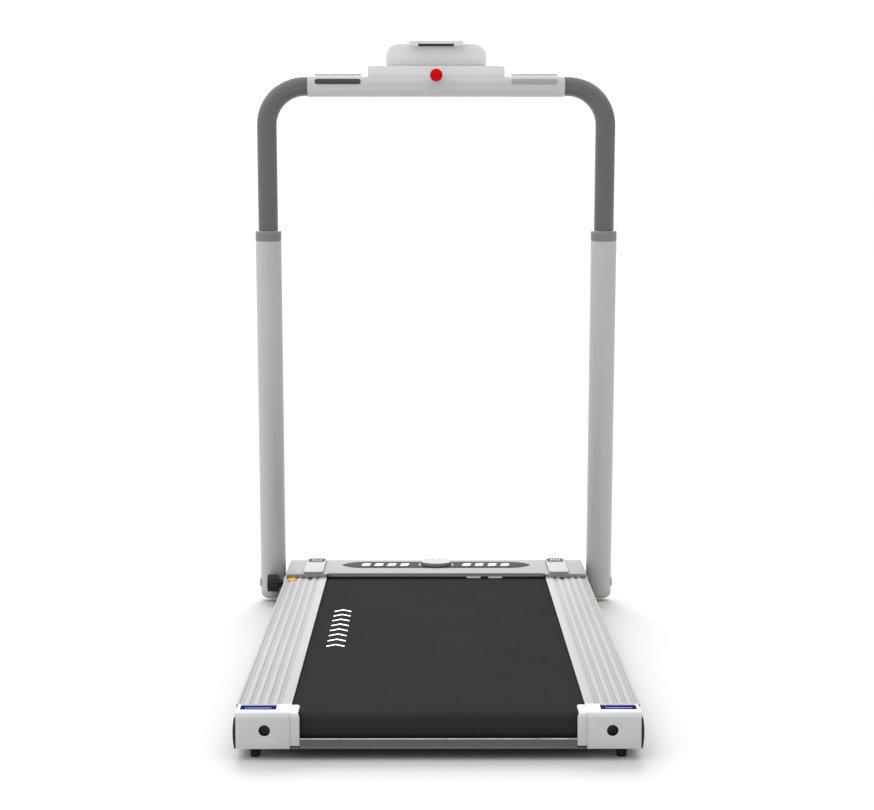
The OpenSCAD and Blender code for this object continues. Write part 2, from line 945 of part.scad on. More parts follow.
// Rounded plugs that close the posts' feet
module post_plugs() {
  spigot = 6;
  color("tan")
    on_posts()
      both()
        translate([post_x, 0, -heel_l]) {
          rotate_extrude() {
            square([post_r - heel_round, heel_round]);
            translate([0, heel_round]) square([post_r, plug_l - heel_round]);
            intersection() {
              translate([post_r - heel_round, heel_round]) circle(heel_round);
              square([post_r, heel_round]);
            }
          }
          translate([0, 0, plug_l]) cylinder(h = spigot, r = post_r - post_wall);
        }
}

// Shouldered sleeves at the posts' tops, which guide the hand rail's tubes
module collars() {
  shoulder = 5;
  color("dimgray")
    on_posts()
      both()
        translate([post_x, 0, post_l])
          difference() {
            union() {
              cylinder(h = collar_l - shoulder, r = post_r);
              cylinder(h = collar_l, r = post_r - shoulder);
              translate([0, 0, collar_l - shoulder])
                rotate_extrude() translate([post_r - shoulder, 0]) circle(shoulder);
              translate([0, 0, -collar_in]) cylinder(h = collar_in, r = post_r - post_wall);
            }
            translate([0, 0, -collar_in - 1])
              cylinder(h = collar_in + collar_l + 2, r = tube_r + gap);
          }
}

// Steel plates welded to the posts' inner faces; the lock screw threads through one of them
module hinge_plates() {
  eye_r = 20;
  color("silver")
    both()
      difference() {
        union() {
          bar_x(plate_in, plate_out, pivot_y, pivot_z, eye_r);
          bar_x(plate_in, plate_out, pivot_y - lock_back, pivot_z + 5, 13);
          span([plate_in, pivot_y - lock_back, pivot_z - 7],
               [plate_out, pivot_y, pivot_z + 17]);
        }
        bar_x(plate_in - 1, plate_out + 1, pivot_y, pivot_z, pivot_r + pin_fit);
        bar_x(plate_in - 1, plate_out + 1, pivot_y - lock_back, pivot_z + 5, lock_r + pin_fit);
      }
}

module pivot_caps() {
  color("dimgray")
    on_posts()
      both()
        difference() {
          bar_x(post_x + post_r - 5, post_x + post_r + cap_proud, 0, 0, cap_r);
          translate([post_x, 0, 0]) cylinder(h = 3 * cap_r, r = post_r, center = true);
        }
}

module lock_washer() {
  y = pivot_y - lock_back;
  z = pivot_z + 5;
  color("silver")
    difference() {
      bar_x(-knob_x, -plate_out, y, z, 11);
      bar_x(-knob_x - 1, -plate_out + 1, y, z, lock_r + pin_fit);
    }
}

// Knurled knob, neck and screw in one
module lock_knob() {
  y = pivot_y - lock_back;
  z = pivot_z + 5;
  flutes = 12;
  color("#202022")
    difference() {
      union() {
        bar_x(-knob_x - neck_l - knob_l, -knob_x - neck_l, y, z, knob_d / 2);
        bar_x(-knob_x - neck_l, -knob_x, y, z, neck_d / 2);
        bar_x(-knob_x, -half_w - 0.5, y, z, lock_r);
      }
      for (i = [0 : flutes - 1])
        translate([0, y, z])
          rotate([i * 360 / flutes, 0, 0])
            bar_x(-knob_x - neck_l - knob_l - 1, -knob_x - neck_l + 1, knob_d / 2 + 1, 0, 2.4);
    }
}

// ---- Hand rail ----

module tube_run(r) {
  for (s = [-1, 1]) {
    translate([s * post_x, 0, post_l - tube_in])
      cylinder(h = bar_z - bend_r - post_l + tube_in, r = r);
    translate([s * straight, 0, bar_z - bend_r])
      rotate([90, 0, 0])
        rotate_extrude(angle = s > 0 ? 90 : -90)
          translate([s * bend_r, 0]) circle(r);
  }
  bar_x(-straight, straight, 0, bar_z, r);
}

module handle_tube() {
  color("#757577")
    on_posts()
      difference() {
        tube_run(tube_r);
        tube_run(tube_r - tube_wall);
        for (s = [-1, 1])
          translate([s * post_x, 0, post_l - tube_in - 1])
            cylinder(h = 4, r = tube_r - tube_wall);
      }
}

module on_bar(x0, x1) {
  translate([0, 0, bar_z]) along_x(x0, x1) children();
}

// Moulded sleeve round the crossbar, with a raised pad at each end
module grip_cover() {
  pad_h = 3;
  color("whitesmoke")
    on_posts()
      difference() {
        union() {
          on_bar(-bar_half, bar_half) round_rect(cover_d, cover_h, cover_round);
          both()
            translate([plate_near, -12, bar_z + cover_h / 2 - 1])
              cube([plate_l, 24, pad_h + 1]);
        }
        on_bar(-bar_half - 1, bar_half + 1) circle(tube_r);
      }
}

// Thin plate that follows the front of the crossbar cover
module pulse_plate() {
  proud = 0.8;
  on_posts()
    on_bar(plate_near, plate_near + plate_l)
      intersection() {
        difference() {
          round_rect(cover_d + 2 * proud, cover_h + 2 * proud, cover_round + proud);
          round_rect(cover_d, cover_h, cover_round);
        }
        translate([-cover_d, 9 - plate_w / 2]) square([cover_d, plate_w]);
      }
}

module pulse_plate_left() {
  color("#3a3a3c") mirror([1, 0, 0]) pulse_plate();
}

module pulse_plate_right() {
  color("darkgray") pulse_plate();
}

// Places a piece on the stop button's tilted axis, +Z pointing at the user
module on_button() {
  on_posts()
    translate([0, boss_y, button_z])
      rotate([90 - button_tilt, 0, 0]) children();
}

module console_tray() {
  corner = 6;
  groove = 16;
  boss_r = button_r - 3;
  boss_l = 22;
  color("white")
    difference() {
      union() {
        on_posts()
          translate([0, 0, bar_z]) along_y(tray_y, tray_y + tray_d)
            translate([0, (tray_z + tray_h - bar_z) / 2])
              intersection() {
                square([tray_w, tray_z + tray_h - bar_z], center = true);
                translate([0, -corner])
                  round_rect(tray_w, tray_z + tray_h - bar_z + 2 * corner, corner);
              }
        on_button() translate([0, 0, -boss_l]) cylinder(h = boss_l, r = boss_r);
      }
      on_posts() {
        on_bar(-tray_w, tray_w) round_rect(cover_d, cover_h, cover_round);
        span([-tray_w / 2 + groove, rest_y - groove, tray_top - 3],
             [tray_w / 2 - groove, rest_y - 3, tray_top + 1]);
        span([-tray_w, cover_d / 2 - 1, bar_z - 1], [tray_w, tray_y + tray_d + 1, tray_z]);
      }
      on_button() translate([0, 0, -boss_l - 1])
        cylinder(h = boss_l + 2, r = button_stem + gap);
    }
}

// Round mushroom button with its stem in the tray's boss
module emergency_button() {
  stem_in = 7;
  edge = 2;
  color("red")
    on_button() {
      translate([0, 0, -stem_in]) cylinder(h = stem_in + button_gap, r = button_stem);
      translate([0, 0, button_gap]) cylinder(h = button_t - edge, r = button_r);
      translate([0, 0, button_gap + button_t - edge])
        cylinder(h = edge, r1 = button_r, r2 = button_r - edge);
    }
}

// Upright plate behind the tray; the clip's leg runs in its back
module phone_rest() {
  corner = 25;
  slot = clip_w * 0.8 + 2 * gap;
  color("white")
    on_posts() {
      along_y(rest_y, rest_y + rest_t) {
        translate([-rest_w / 2, tray_top]) square([rest_w, rest_h - corner]);
        translate([-rest_w / 2 + corner, tray_top]) square([rest_w - 2 * corner, rest_h]);
        intersection() {
          translate([-rest_w / 2, tray_top]) square([rest_w, rest_h]);
          for (s = [-1, 1])
            translate([s * (rest_w / 2 - corner), tray_top + rest_h - corner]) circle(corner);
        }
      }
      for (s = [-1, 1])
        translate([s * (slot / 2 + 3) - 3, rest_y + rest_t, tray_top])
          cube([6, 5, rest_h - 8]);
    }
}

// Sprung hook that holds a phone's top edge against the rest
module phone_clip() {
  leg_w = clip_w * 0.8;
  back = rest_y + rest_t + gap;
  lug_w = 17;
  color("white")
    on_posts() {
      span([-leg_w / 2, back, rest_top - 32], [leg_w / 2, back + 3, rest_top + clip_t]);
      span([-clip_w / 2, rest_y - 10, rest_top + gap],
           [clip_w / 2, back + 3, rest_top + clip_t]);
      for (s = [-1, 1])
        translate([s * (clip_w - lug_w) / 2 - lug_w / 2, rest_y - 13, rest_top - 4])
          cube([lug_w, 3.1, clip_t + 4]);
    }
}

// ---- The assembly ----

side_frame_left();
side_frame_right();
cross_members();
running_deck();
deck_cushions();
running_belt();
foot_rail_left();
foot_rail_right();
side_panels();
end_cap_left();
end_cap_right();
belt_guards();
feet();
rear_roller_axle();
front_roller_axle();
motor_housing();
motor_bracket();
drive_belt();
motor_controller();
motor_hood();
hood_lip();
hood_risers();
riser_inserts();
display_panel();
dial_ring();
belly_pan();
rear_pan();
wheel_axles();
power_inlet();
pivot_pins();
casing_screws();
front_roller_tube();
front_roller_bearings();
roller_pulley();
rear_roller_tube();
rear_roller_bearings();
motor_armature();
motor_pulley();
transport_wheel_left();
transport_wheel_right();
post_left();
post_right();
post_plugs();
collars();
hinge_plates();
pivot_caps();
handle_tube();
grip_cover();
pulse_plate_left();
pulse_plate_right();
console_tray();
phone_rest();
lock_washer();
lock_knob();
emergency_button();
phone_clip();
speed_dial();
rocker_switch();
tension_bolt_left();
tension_bolt_right();
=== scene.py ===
# %% [markdown]
# # A flat treadmill with a folding hand rail
# The steel frame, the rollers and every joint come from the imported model, and they stay
# where they are. This script gives each piece the surface that a hand would feel: soft
# moulded edges, powder coat, embossed belt, and the small fittings that make it look used.
# Everything is in metres, with +Y the way the walker faces.

# %% Load the frame
import json
import math

import bmesh
import bpy
from mathutils import Matrix, Vector


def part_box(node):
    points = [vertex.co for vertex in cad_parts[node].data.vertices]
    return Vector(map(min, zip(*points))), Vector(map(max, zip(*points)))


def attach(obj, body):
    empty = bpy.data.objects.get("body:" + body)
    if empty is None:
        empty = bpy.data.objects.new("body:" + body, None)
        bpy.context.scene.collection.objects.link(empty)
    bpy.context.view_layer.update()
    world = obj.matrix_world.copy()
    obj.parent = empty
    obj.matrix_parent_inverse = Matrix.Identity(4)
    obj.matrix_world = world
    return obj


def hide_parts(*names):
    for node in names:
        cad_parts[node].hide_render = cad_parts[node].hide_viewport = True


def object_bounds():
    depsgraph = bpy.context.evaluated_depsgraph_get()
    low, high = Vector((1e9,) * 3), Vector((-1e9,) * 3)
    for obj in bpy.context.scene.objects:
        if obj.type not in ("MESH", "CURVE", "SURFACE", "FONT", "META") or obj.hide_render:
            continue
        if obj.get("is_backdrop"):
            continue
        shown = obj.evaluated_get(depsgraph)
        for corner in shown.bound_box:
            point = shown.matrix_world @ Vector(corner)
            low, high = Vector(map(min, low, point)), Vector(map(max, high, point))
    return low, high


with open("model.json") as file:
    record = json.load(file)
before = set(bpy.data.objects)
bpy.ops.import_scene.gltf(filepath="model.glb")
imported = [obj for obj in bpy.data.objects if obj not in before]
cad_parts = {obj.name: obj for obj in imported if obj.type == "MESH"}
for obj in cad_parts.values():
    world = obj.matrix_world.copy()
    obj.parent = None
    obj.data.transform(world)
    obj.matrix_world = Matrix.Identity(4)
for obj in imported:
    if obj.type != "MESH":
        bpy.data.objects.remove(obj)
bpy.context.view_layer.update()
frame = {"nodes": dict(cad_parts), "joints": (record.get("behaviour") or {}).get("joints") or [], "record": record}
joints = {j["name"]: j for j in frame["joints"]}
body_of_node = {n: b for b, ns in frame["record"]["behaviour"]["bodies"].items() for n in ns}
slot_of_node = {s["node"]: s["material_slot"] for s in frame["record"]["subparts"]}
MM = 0.001

# %% [markdown]
# ## The uprights' own axes
# The posts lean a few degrees towards the walker, so anything on them is drawn in a frame
# that leans with them. The pivot and the direction of the telescoping tube are already in
# the joints, and reading them from there keeps the fittings right if the lean changes.

# %% A frame that leans with the posts
PIVOT = Vector(joints["frame_fold"]["pos_m"])
UP = Vector(joints["handle_slide"]["axis"]).normalized()
RIGHT = Vector((1, 0, 0))
AWAY = UP.cross(RIGHT)
ON_POSTS = Matrix.Translation(PIVOT) @ Matrix((RIGHT, AWAY, UP)).transposed().to_4x4()
print("lean in degrees:", round(math.degrees(math.atan2(-UP.y, UP.z)), 2))

# %% [markdown]
# ## Shared surface effects
# Three effects turn up in nearly every material, so each is one node group with named
# inputs: fine grain (moulded plastic and powder coat), worn edges (on the pan, a painted
# highlight), and settled dust.
# A group returns only masks and heights. The shader stays in the material, where its plain
# numbers can be read by anyone who exports the part.

# %% Helpers for node groups
def new_group(name, inputs, outputs):
    """An empty shader node group with float sockets; returns it with its two end nodes."""
    group = bpy.data.node_groups.new(name, "ShaderNodeTree")
    for label, value in inputs:
        socket = group.interface.new_socket(label, in_out="INPUT", socket_type="NodeSocketFloat")
        socket.default_value = value
    for label in outputs:
        group.interface.new_socket(label, in_out="OUTPUT", socket_type="NodeSocketFloat")
    return group, group.nodes.new("NodeGroupInput"), group.nodes.new("NodeGroupOutput")


def math_node(tree, kind, a, b=None, c=None, clamp=False):
    """One Math node; a number is set on its socket and a socket is linked to it."""
    node = tree.nodes.new("ShaderNodeMath")
    node.operation = kind
    node.use_clamp = clamp
    for i, value in enumerate((a, b, c)):
        if value is None:
            continue
        if isinstance(value, (int, float)):
            node.inputs[i].default_value = value
        else:
            tree.links.new(value, node.inputs[i])
    return node.outputs[0]


def noise(tree, vector, scale, detail=3.0, roughness=0.55):
    """A noise texture on the given vector; scale is a number or a socket."""
    node = tree.nodes.new("ShaderNodeTexNoise")
    node.inputs["Detail"].default_value = detail
    node.inputs["Roughness"].default_value = roughness
    tree.links.new(vector, node.inputs["Vector"])
    if isinstance(scale, (int, float)):
        node.inputs["Scale"].default_value = scale
    else:
        tree.links.new(scale, node.inputs["Scale"])
    return node.outputs["Fac"]


def object_coords(tree):
    return tree.nodes.new("ShaderNodeTexCoord").outputs["Object"]


# %% Fine grain: the pebbled skin of moulded plastic or powder coat
grain_group, grain_in, grain_out = new_group(
    "Fine Grain", [("Scale", 900.0), ("Cloud Scale", 9.0)], ["Height", "Cloud"])
grain_xyz = object_coords(grain_group)
grain_group.links.new(noise(grain_group, grain_xyz, grain_in.outputs["Scale"]),
                      grain_out.inputs["Height"])
grain_group.links.new(noise(grain_group, grain_xyz, grain_in.outputs["Cloud Scale"], 4.0),
                      grain_out.inputs["Cloud"])

# %% Edge wear and painted highlight: a broken line along the piece's softened edges
wear_and_highlight_group, wear_and_highlight_in, wear_and_highlight_out = new_group(
    "Edge Wear And Highlight", [("Amount", 0.5), ("Break Up", 60.0)], ["Mask"])
wear_and_highlight_edge = wear_and_highlight_group.nodes.new("ShaderNodeAttribute")
wear_and_highlight_edge.attribute_name = "edge"
wear_and_highlight_spots = noise(wear_and_highlight_group, object_coords(wear_and_highlight_group), wear_and_highlight_in.outputs["Break Up"], 5.0)
wear_and_highlight_raw = math_node(wear_and_highlight_group, "MULTIPLY", wear_and_highlight_edge.outputs["Fac"], wear_and_highlight_spots)
wear_and_highlight_group.links.new(
    math_node(wear_and_highlight_group, "MULTIPLY", wear_and_highlight_raw, wear_and_highlight_in.outputs["Amount"], clamp=True),
    wear_and_highlight_out.inputs["Mask"])

# %% Dust: a thin film that settles on faces that look up
dust_group, dust_in, dust_out = new_group(
    "Dust", [("Amount", 0.2), ("Scale", 14.0)], ["Mask"])
dust_normal = dust_group.nodes.new("ShaderNodeNewGeometry")
dust_split = dust_group.nodes.new("ShaderNodeSeparateXYZ")
dust_group.links.new(dust_normal.outputs["Normal"], dust_split.inputs[0])
dust_up = math_node(dust_group, "MULTIPLY", dust_split.outputs["Z"], 1.0, clamp=True)
dust_spots = noise(dust_group, object_coords(dust_group), dust_in.outputs["Scale"], 6.0)
dust_raw = math_node(dust_group, "MULTIPLY", dust_up, dust_spots)
dust_group.links.new(
    math_node(dust_group, "MULTIPLY", dust_raw, dust_in.outputs["Amount"], clamp=True),
    dust_out.inputs["Mask"])
print("effect groups:", [g.name for g in (grain_group, wear_and_highlight_group, dust_group)])

# %% [markdown]
# ## One recipe for moulded and painted surfaces
# White covers, black trim and powder-coated tubes differ only in colour, gloss and how
# coarse their skin is. A single function mixes the three effects into one Principled
# shader: clouding shifts the colour a little, wear lightens or darkens the edges (on the
# pan it paints a highlight along them), dust dulls what faces up, and grain goes into the bump.

# %% The recipe
def mix_colour(tree, factor, a, b):
    """Mixes two colours; each is a tuple or a socket."""
    node = tree.nodes.new("ShaderNodeMix")
    node.data_type = "RGBA"
    tree.links.new(factor, node.inputs[0])
    for socket, value in ((node.inputs[6], a), (node.inputs[7], b)):
        if isinstance(value, tuple):
            socket.default_value = (*value, 1.0)
        else:
            tree.links.new(value, socket)
    return node.outputs[2]


def use_group(tree, group, **values):
    node = tree.nodes.new("ShaderNodeGroup")
    node.node_tree = group
    for label, value in values.items():
        node.inputs[label.replace("_", " ").title()].default_value = value
    return node


def new_material(name, roughness, metallic=0.0, coat=0.0, specular=0.5):
    """A material with a bare Principled shader; returns material, tree and shader."""
    material = bpy.data.materials.new(name)
    material.use_nodes = True
    shader = material.node_tree.nodes["Principled BSDF"]
    shader.inputs["Roughness"].default_value = roughness
    shader.inputs["Metallic"].default_value = metallic
    shader.inputs["Coat Weight"].default_value = coat
    shader.inputs["Specular IOR Level"].default_value = specular
    return material, material.node_tree, shader


def link_bump(tree, shader, height, distance, strength=0.5):
    bump = tree.nodes.new("ShaderNodeBump")
    bump.inputs["Strength"].default_value = strength
    bump.inputs["Distance"].default_value = distance
    tree.links.new(height, bump.inputs["Height"])
    tree.links.new(bump.outputs["Normal"], shader.inputs["Normal"])


def skin(name, colour, roughness=0.4, grain=900.0, bump=0.06, cloud=0.08, wear_and_highlight=0.3,
         worn_and_highlight_colour=None, dust=0.04, metallic=0.0, coat=0.0, specular=0.35, pattern=None):
    """A moulded, painted or metal surface; pattern adds its own height and colour."""
    material, tree, shader = new_material(name, roughness, metallic, coat, specular)
    fine = use_group(tree, grain_group, scale=grain, cloud_scale=9.0)
    darker = tuple(c * (1.0 - cloud) for c in colour)
    base = mix_colour(tree, fine.outputs["Cloud"], darker, colour)
    height = fine.outputs["Height"]
    if pattern:
        base, height = pattern(tree, base, height)
    worn_and_highlight_colour = worn_and_highlight_colour or tuple(min(1.0, c * 1.25 + 0.02) for c in colour)
    edge = use_group(tree, wear_and_highlight_group, amount=wear_and_highlight)
    base = mix_colour(tree, edge.outputs["Mask"], base, worn_and_highlight_colour)
    film = use_group(tree, dust_group, amount=dust)
    base = mix_colour(tree, film.outputs["Mask"], base, (0.62, 0.61, 0.59))
    tree.links.new(base, shader.inputs["Base Color"])
    rough = math_node(tree, "MULTIPLY_ADD", fine.outputs["Cloud"], 0.14, roughness - 0.07)
    rough = math_node(tree, "ADD", rough, film.outputs["Mask"], clamp=True)
    tree.links.new(rough, shader.inputs["Roughness"])
    link_bump(tree, shader, height, bump * MM)
    return material


# %% [markdown]
# ## Patterns that belong to one material
# Some surfaces carry more than grain. The belt is embossed with a fine diamond so that a
# shoe grips it, turned steel has rings round its axis, and the foot rails have shade painted
# into their grooves. Each pattern is a short function that
# the recipe calls before it adds wear (on the pan, a painted edge highlight) and dust.

# %% Diamond emboss, turned rings, painted groove shade and board grain
def wave(tree, vector, scale, direction, turn=0.0):
    """A band wave, turned about Z by the given angle."""
    mapping = tree.nodes.new("ShaderNodeMapping")
    mapping.inputs["Rotation"].default_value = (0, 0, turn)
    tree.links.new(vector, mapping.inputs["Vector"])
    node = tree.nodes.new("ShaderNodeTexWave")
    node.bands_direction = direction
    node.inputs["Scale"].default_value = scale
    tree.links.new(mapping.outputs[0], node.inputs["Vector"])
    return node.outputs["Fac"]


def diamonds(tree, base, height):
    xyz = object_coords(tree)
    a = wave(tree, xyz, 110.0, "X", math.radians(38))
    b = wave(tree, xyz, 110.0, "X", math.radians(-38))
    peaks = math_node(tree, "MULTIPLY", a, b)
    lighter = mix_colour(tree, peaks, base, (0.036, 0.036, 0.0365))
    return lighter, math_node(tree, "MULTIPLY_ADD", height, 0.2, peaks)


def turned(direction):
    def rings(tree, base, height):
        lines = wave(tree, object_coords(tree), 420.0, direction)
        shade = mix_colour(tree, lines, base, (0.72, 0.72, 0.73))
        return shade, math_node(tree, "MULTIPLY_ADD", lines, 0.5, height)
    return rings


def painted_shade_below(level, shade, blend=0.0004):
    """Paints shade where the surface lies below a height, blending towards the shade colour."""
    def pattern(tree, base, height):
        split = tree.nodes.new("ShaderNodeSeparateXYZ")
        tree.links.new(object_coords(tree), split.inputs[0])
        depth = math_node(tree, "SUBTRACT", level, split.outputs["Z"])
        mask = math_node(tree, "DIVIDE", depth, blend, clamp=True)
        return mix_colour(tree, mask, base, shade), height
    return pattern


def board(tree, base, height):
    streaks = noise(tree, object_coords(tree), 45.0, 8.0, 0.7)
    return mix_colour(tree, streaks, base, (0.30, 0.20, 0.11)), streaks


def traces(tree, base, height):
    """Copper tracks on a circuit board."""
    bricks = tree.nodes.new("ShaderNodeTexBrick")
    bricks.inputs["Scale"].default_value = 90.0
    bricks.inputs["Mortar Size"].default_value = 0.06
    tree.links.new(object_coords(tree), bricks.inputs["Vector"])
    return mix_colour(tree, bricks.outputs["Fac"], base, (0.16, 0.34, 0.12)), height

# %% [markdown]
# ## The finishes
# Each finish is one line, named as a maker would name it. The values are linear colours:
# the covers are a slightly cool white, the two stages of the hand rail are a light and a
# dark grey powder coat, and the working metal is bright or zinc plated.

# %% Finishes by material slot
rail_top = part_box("foot_rail_left")[1].z
FINISH = {
    # The console is the covers' white plastic in a lighter copy, which paints the light on it.
    "white_plastic": skin("cover_white", (0.51, 0.51, 0.51), 0.4, cloud=0.03, wear_and_highlight=0.15),
    "console_plastic": skin("console_white_painted_light", (0.68, 0.68, 0.68), 0.4, cloud=0.03, wear_and_highlight=0.15),
    "hood_plastic": skin("hood_white", (0.295, 0.295, 0.297), 0.7, cloud=0.03, wear_and_highlight=0.3,
                         specular=0.05),
    # The rails' grooves, below their top, are darkened with painted shade.
    "rail_plastic": skin("rail_grey", (0.29, 0.29, 0.293), 0.5, bump=0.1, cloud=0.04, wear_and_highlight=0.3,
                         specular=0.05,
                         pattern=painted_shade_below(rail_top - 0.5 * MM, (0.22, 0.22, 0.225), 0.8 * MM)),
    "black_plastic": skin("trim_black", (0.012, 0.012, 0.013), 0.45, wear_and_highlight=0.25, dust=0.01,
                          specular=0.25),
    "grey_plastic": skin("insert_grey", (0.08, 0.08, 0.082), 0.8, specular=0.03),
    "display_plastic": skin("display_grey", (0.048, 0.048, 0.05), 0.8, bump=0.02,
                            specular=0.03, dust=0.02),
    "dial_plastic": skin("dial_grey", (0.21, 0.21, 0.212), 0.5, bump=0.03, specular=0.15),
    "collar_plastic": skin("collar_grey", (0.20, 0.20, 0.205), 0.45),
    "plug_plastic": skin("heel_grey", (0.42, 0.41, 0.35), 0.5, wear_and_highlight=0.6, dust=0.15),
    "red_plastic": skin("stop_red", (0.56, 0.001, 0.0012), 0.35, bump=0.02, cloud=0.1,
                        wear_and_highlight=0.05, dust=0.0, specular=0.08),
    "switch_plastic": skin("rocker_red", (0.42, 0.01, 0.012), 0.3, bump=0.02, dust=0.0),
    "dark_pad": skin("pad_dark", (0.045, 0.045, 0.047), 0.35, bump=0.02, dust=0.0),
    "light_pad": skin("pad_light", (0.33, 0.33, 0.335), 0.3, bump=0.02, dust=0.0),
    "belt_pvc": skin("belt_charcoal", (0.019, 0.019, 0.0195), 0.8, bump=0.3, cloud=0.1,
                     wear_and_highlight=0.1, dust=0.006, specular=0.0, pattern=diamonds),
    "drive_rubber": skin("drive_belt_black", (0.015, 0.015, 0.015), 0.6, bump=0.2),
    "foot_rubber": skin("foot_rubber_black", (0.012, 0.012, 0.013), 0.7, bump=0.15, wear_and_highlight=0.4,
                        dust=0.01, specular=0.2),
    "wheel_rubber": skin("wheel_black", (0.02, 0.02, 0.021), 0.6, bump=0.12, wear_and_highlight=0.6),
    "cushion_rubber": skin("cushion_black", (0.03, 0.032, 0.035), 0.65, bump=0.15),
    "post_paint": skin("post_light_grey", (0.45, 0.45, 0.452), 0.38, grain=700.0, bump=0.05,
                       cloud=0.04, coat=0.1),
    "tube_paint": skin("tube_dark_grey", (0.111, 0.111, 0.113), 0.4, grain=700.0, bump=0.05,
                       cloud=0.06, coat=0.1),
    "frame_steel": skin("frame_black", (0.04, 0.04, 0.042), 0.45, bump=0.12, wear_and_highlight=0.8,
                        worn_and_highlight_colour=(0.3, 0.29, 0.28)),
    "motor_paint": skin("motor_black", (0.03, 0.03, 0.032), 0.38, bump=0.08),
    # The pan's pale edges are a painted highlight, laid on through the wear mask.
    "pan_steel": skin("pan_grey", (0.095, 0.095, 0.098), 0.4, bump=0.05, wear_and_highlight=1.0,
                      worn_and_highlight_colour=(0.75, 0.75, 0.76)),
    "black_screw": skin("screw_black", (0.012, 0.012, 0.013), 0.4, metallic=0.3, wear_and_highlight=0.4,
                        worn_and_highlight_colour=(0.12, 0.12, 0.12), dust=0.0),
    "bright_steel": skin("bright_steel", (0.60, 0.60, 0.61), 0.24, metallic=1.0, bump=0.03,
                         pattern=turned("X")),
    "zinc_steel": skin("zinc_plate", (0.56, 0.57, 0.60), 0.34, metallic=1.0, bump=0.03,
                       cloud=0.25),
    "bearing_steel": skin("bearing_steel", (0.45, 0.45, 0.47), 0.22, metallic=1.0, bump=0.02,
                          pattern=turned("X")),
    "pulley_iron": skin("pulley_iron", (0.16, 0.16, 0.17), 0.5, metallic=0.8, bump=0.15,
                        pattern=turned("X")),
    "copper_winding": skin("copper_wire", (0.50, 0.20, 0.07), 0.35, metallic=0.9, bump=0.3,
                           pattern=turned("X")),
    "circuit_board": skin("circuit_green", (0.02, 0.13, 0.05), 0.35, coat=0.4,
                          pattern=traces),
    "deck_board": skin("pressed_board", (0.45, 0.32, 0.19), 0.55, bump=0.1, pattern=board),
}
print("finishes:", len(FINISH))

# %% [markdown]
# ## From machined solid to moulded piece
# The imported solids have knife edges, and no real cover has one. A bevel gives each edge the
# radius of its mould or its press tool. The solid itself is never touched: a copy is
# merged, its flat faces are joined up, and the bevel runs on the clean copy. The vertices
# that lie in the middle of a bevel are marked as "edge", which is what the wear reads; on
# the pan the same mark carries a painted highlight.

# %% Turning a mesh into a finished piece
def place(mesh, name, body, slot, replaced=()):
    """Links a finished mesh as a piece that rides on a body and takes a slot's finish."""
    piece = bpy.data.objects.new(name, mesh)
    bpy.context.collection.objects.link(piece)
    mesh.materials.clear()
    mesh.materials.append(slot if isinstance(slot, bpy.types.Material) else FINISH[slot])
    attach(piece, body)
    if replaced:
        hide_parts(*replaced)
    return piece


def smooth_by_angle(mesh, degrees=32):
    mesh.polygons.foreach_set("use_smooth", [True] * len(mesh.polygons))
    mesh.set_sharp_from_angle(angle=math.radians(degrees))
    mesh.update()


def mark_edges(mesh, width):
    """Stores 1 on vertices whose every face is a bevel's narrow strip, else 0."""
    narrow = [True] * len(mesh.vertices)
    for face in mesh.polygons:
        corners = [mesh.vertices[i].co for i in face.vertices]
        longest = max((a - b).length for a, b in zip(corners, corners[1:] + corners[:1]))
        if face.area > width * longest:
            for i in face.vertices:
                narrow[i] = False
    layer = mesh.attributes.new("edge", "FLOAT", "POINT")
    layer.data.foreach_set("value", [1.0 if n else 0.0 for n in narrow])


def clean_copy(node):
    """The CAD node's mesh with its doubles merged and its flat faces joined up."""
    shape = bmesh.new()
    shape.from_mesh(frame["nodes"][node].data)
    bmesh.ops.remove_doubles(shape, verts=shape.verts, dist=0.002 * MM)
    bmesh.ops.dissolve_limit(shape, angle_limit=math.radians(0.6), verts=shape.verts,
                             edges=shape.edges, delimit={"NORMAL"})
    mesh = bpy.data.meshes.new(node)
    shape.to_mesh(mesh)
    shape.free()
    return mesh


def apply_modifiers(mesh, name, *settings):
    """Runs modifiers, given as (kind, {property: value}), on a mesh and returns the result."""
    worker = bpy.data.objects.new(name, mesh)
    bpy.context.collection.objects.link(worker)
    for kind, values in settings:
        modifier = worker.modifiers.new(kind, kind)
        for key, value in values.items():
            setattr(modifier, key, value)
    graph = bpy.context.evaluated_depsgraph_get()
    result = bpy.data.meshes.new_from_object(worker.evaluated_get(graph))
    bpy.data.objects.remove(worker)
    return result


def bevel(width, segments=3, degrees=33):
    return ("BEVEL", {"width": width, "segments": segments, "limit_method": "ANGLE",
                      "angle_limit": math.radians(degrees), "use_clamp_overlap": True,
                      "miter_outer": "MITER_ARC"})


def soften(node, width, segments=3):
    """Replaces a CAD node by a copy with its edges rounded to a radius in millimetres."""
    mesh = clean_copy(node)
    if width:
        mesh = apply_modifiers(mesh, "work", bevel(width * MM, segments))
        mark_edges(mesh, width * 0.8 * MM)
    smooth_by_angle(mesh)
    return place(mesh, node + "_skin", body_of_node[node], slot_of_node[node], [node])


# %% [markdown]
# ## Which edges are how round
# Big mouldings have generous edges, pressed steel has tight ones. The table groups the
# nodes by edge radius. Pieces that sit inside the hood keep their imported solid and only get
# a finish, because a bevel there would cost triangles that nobody sees.

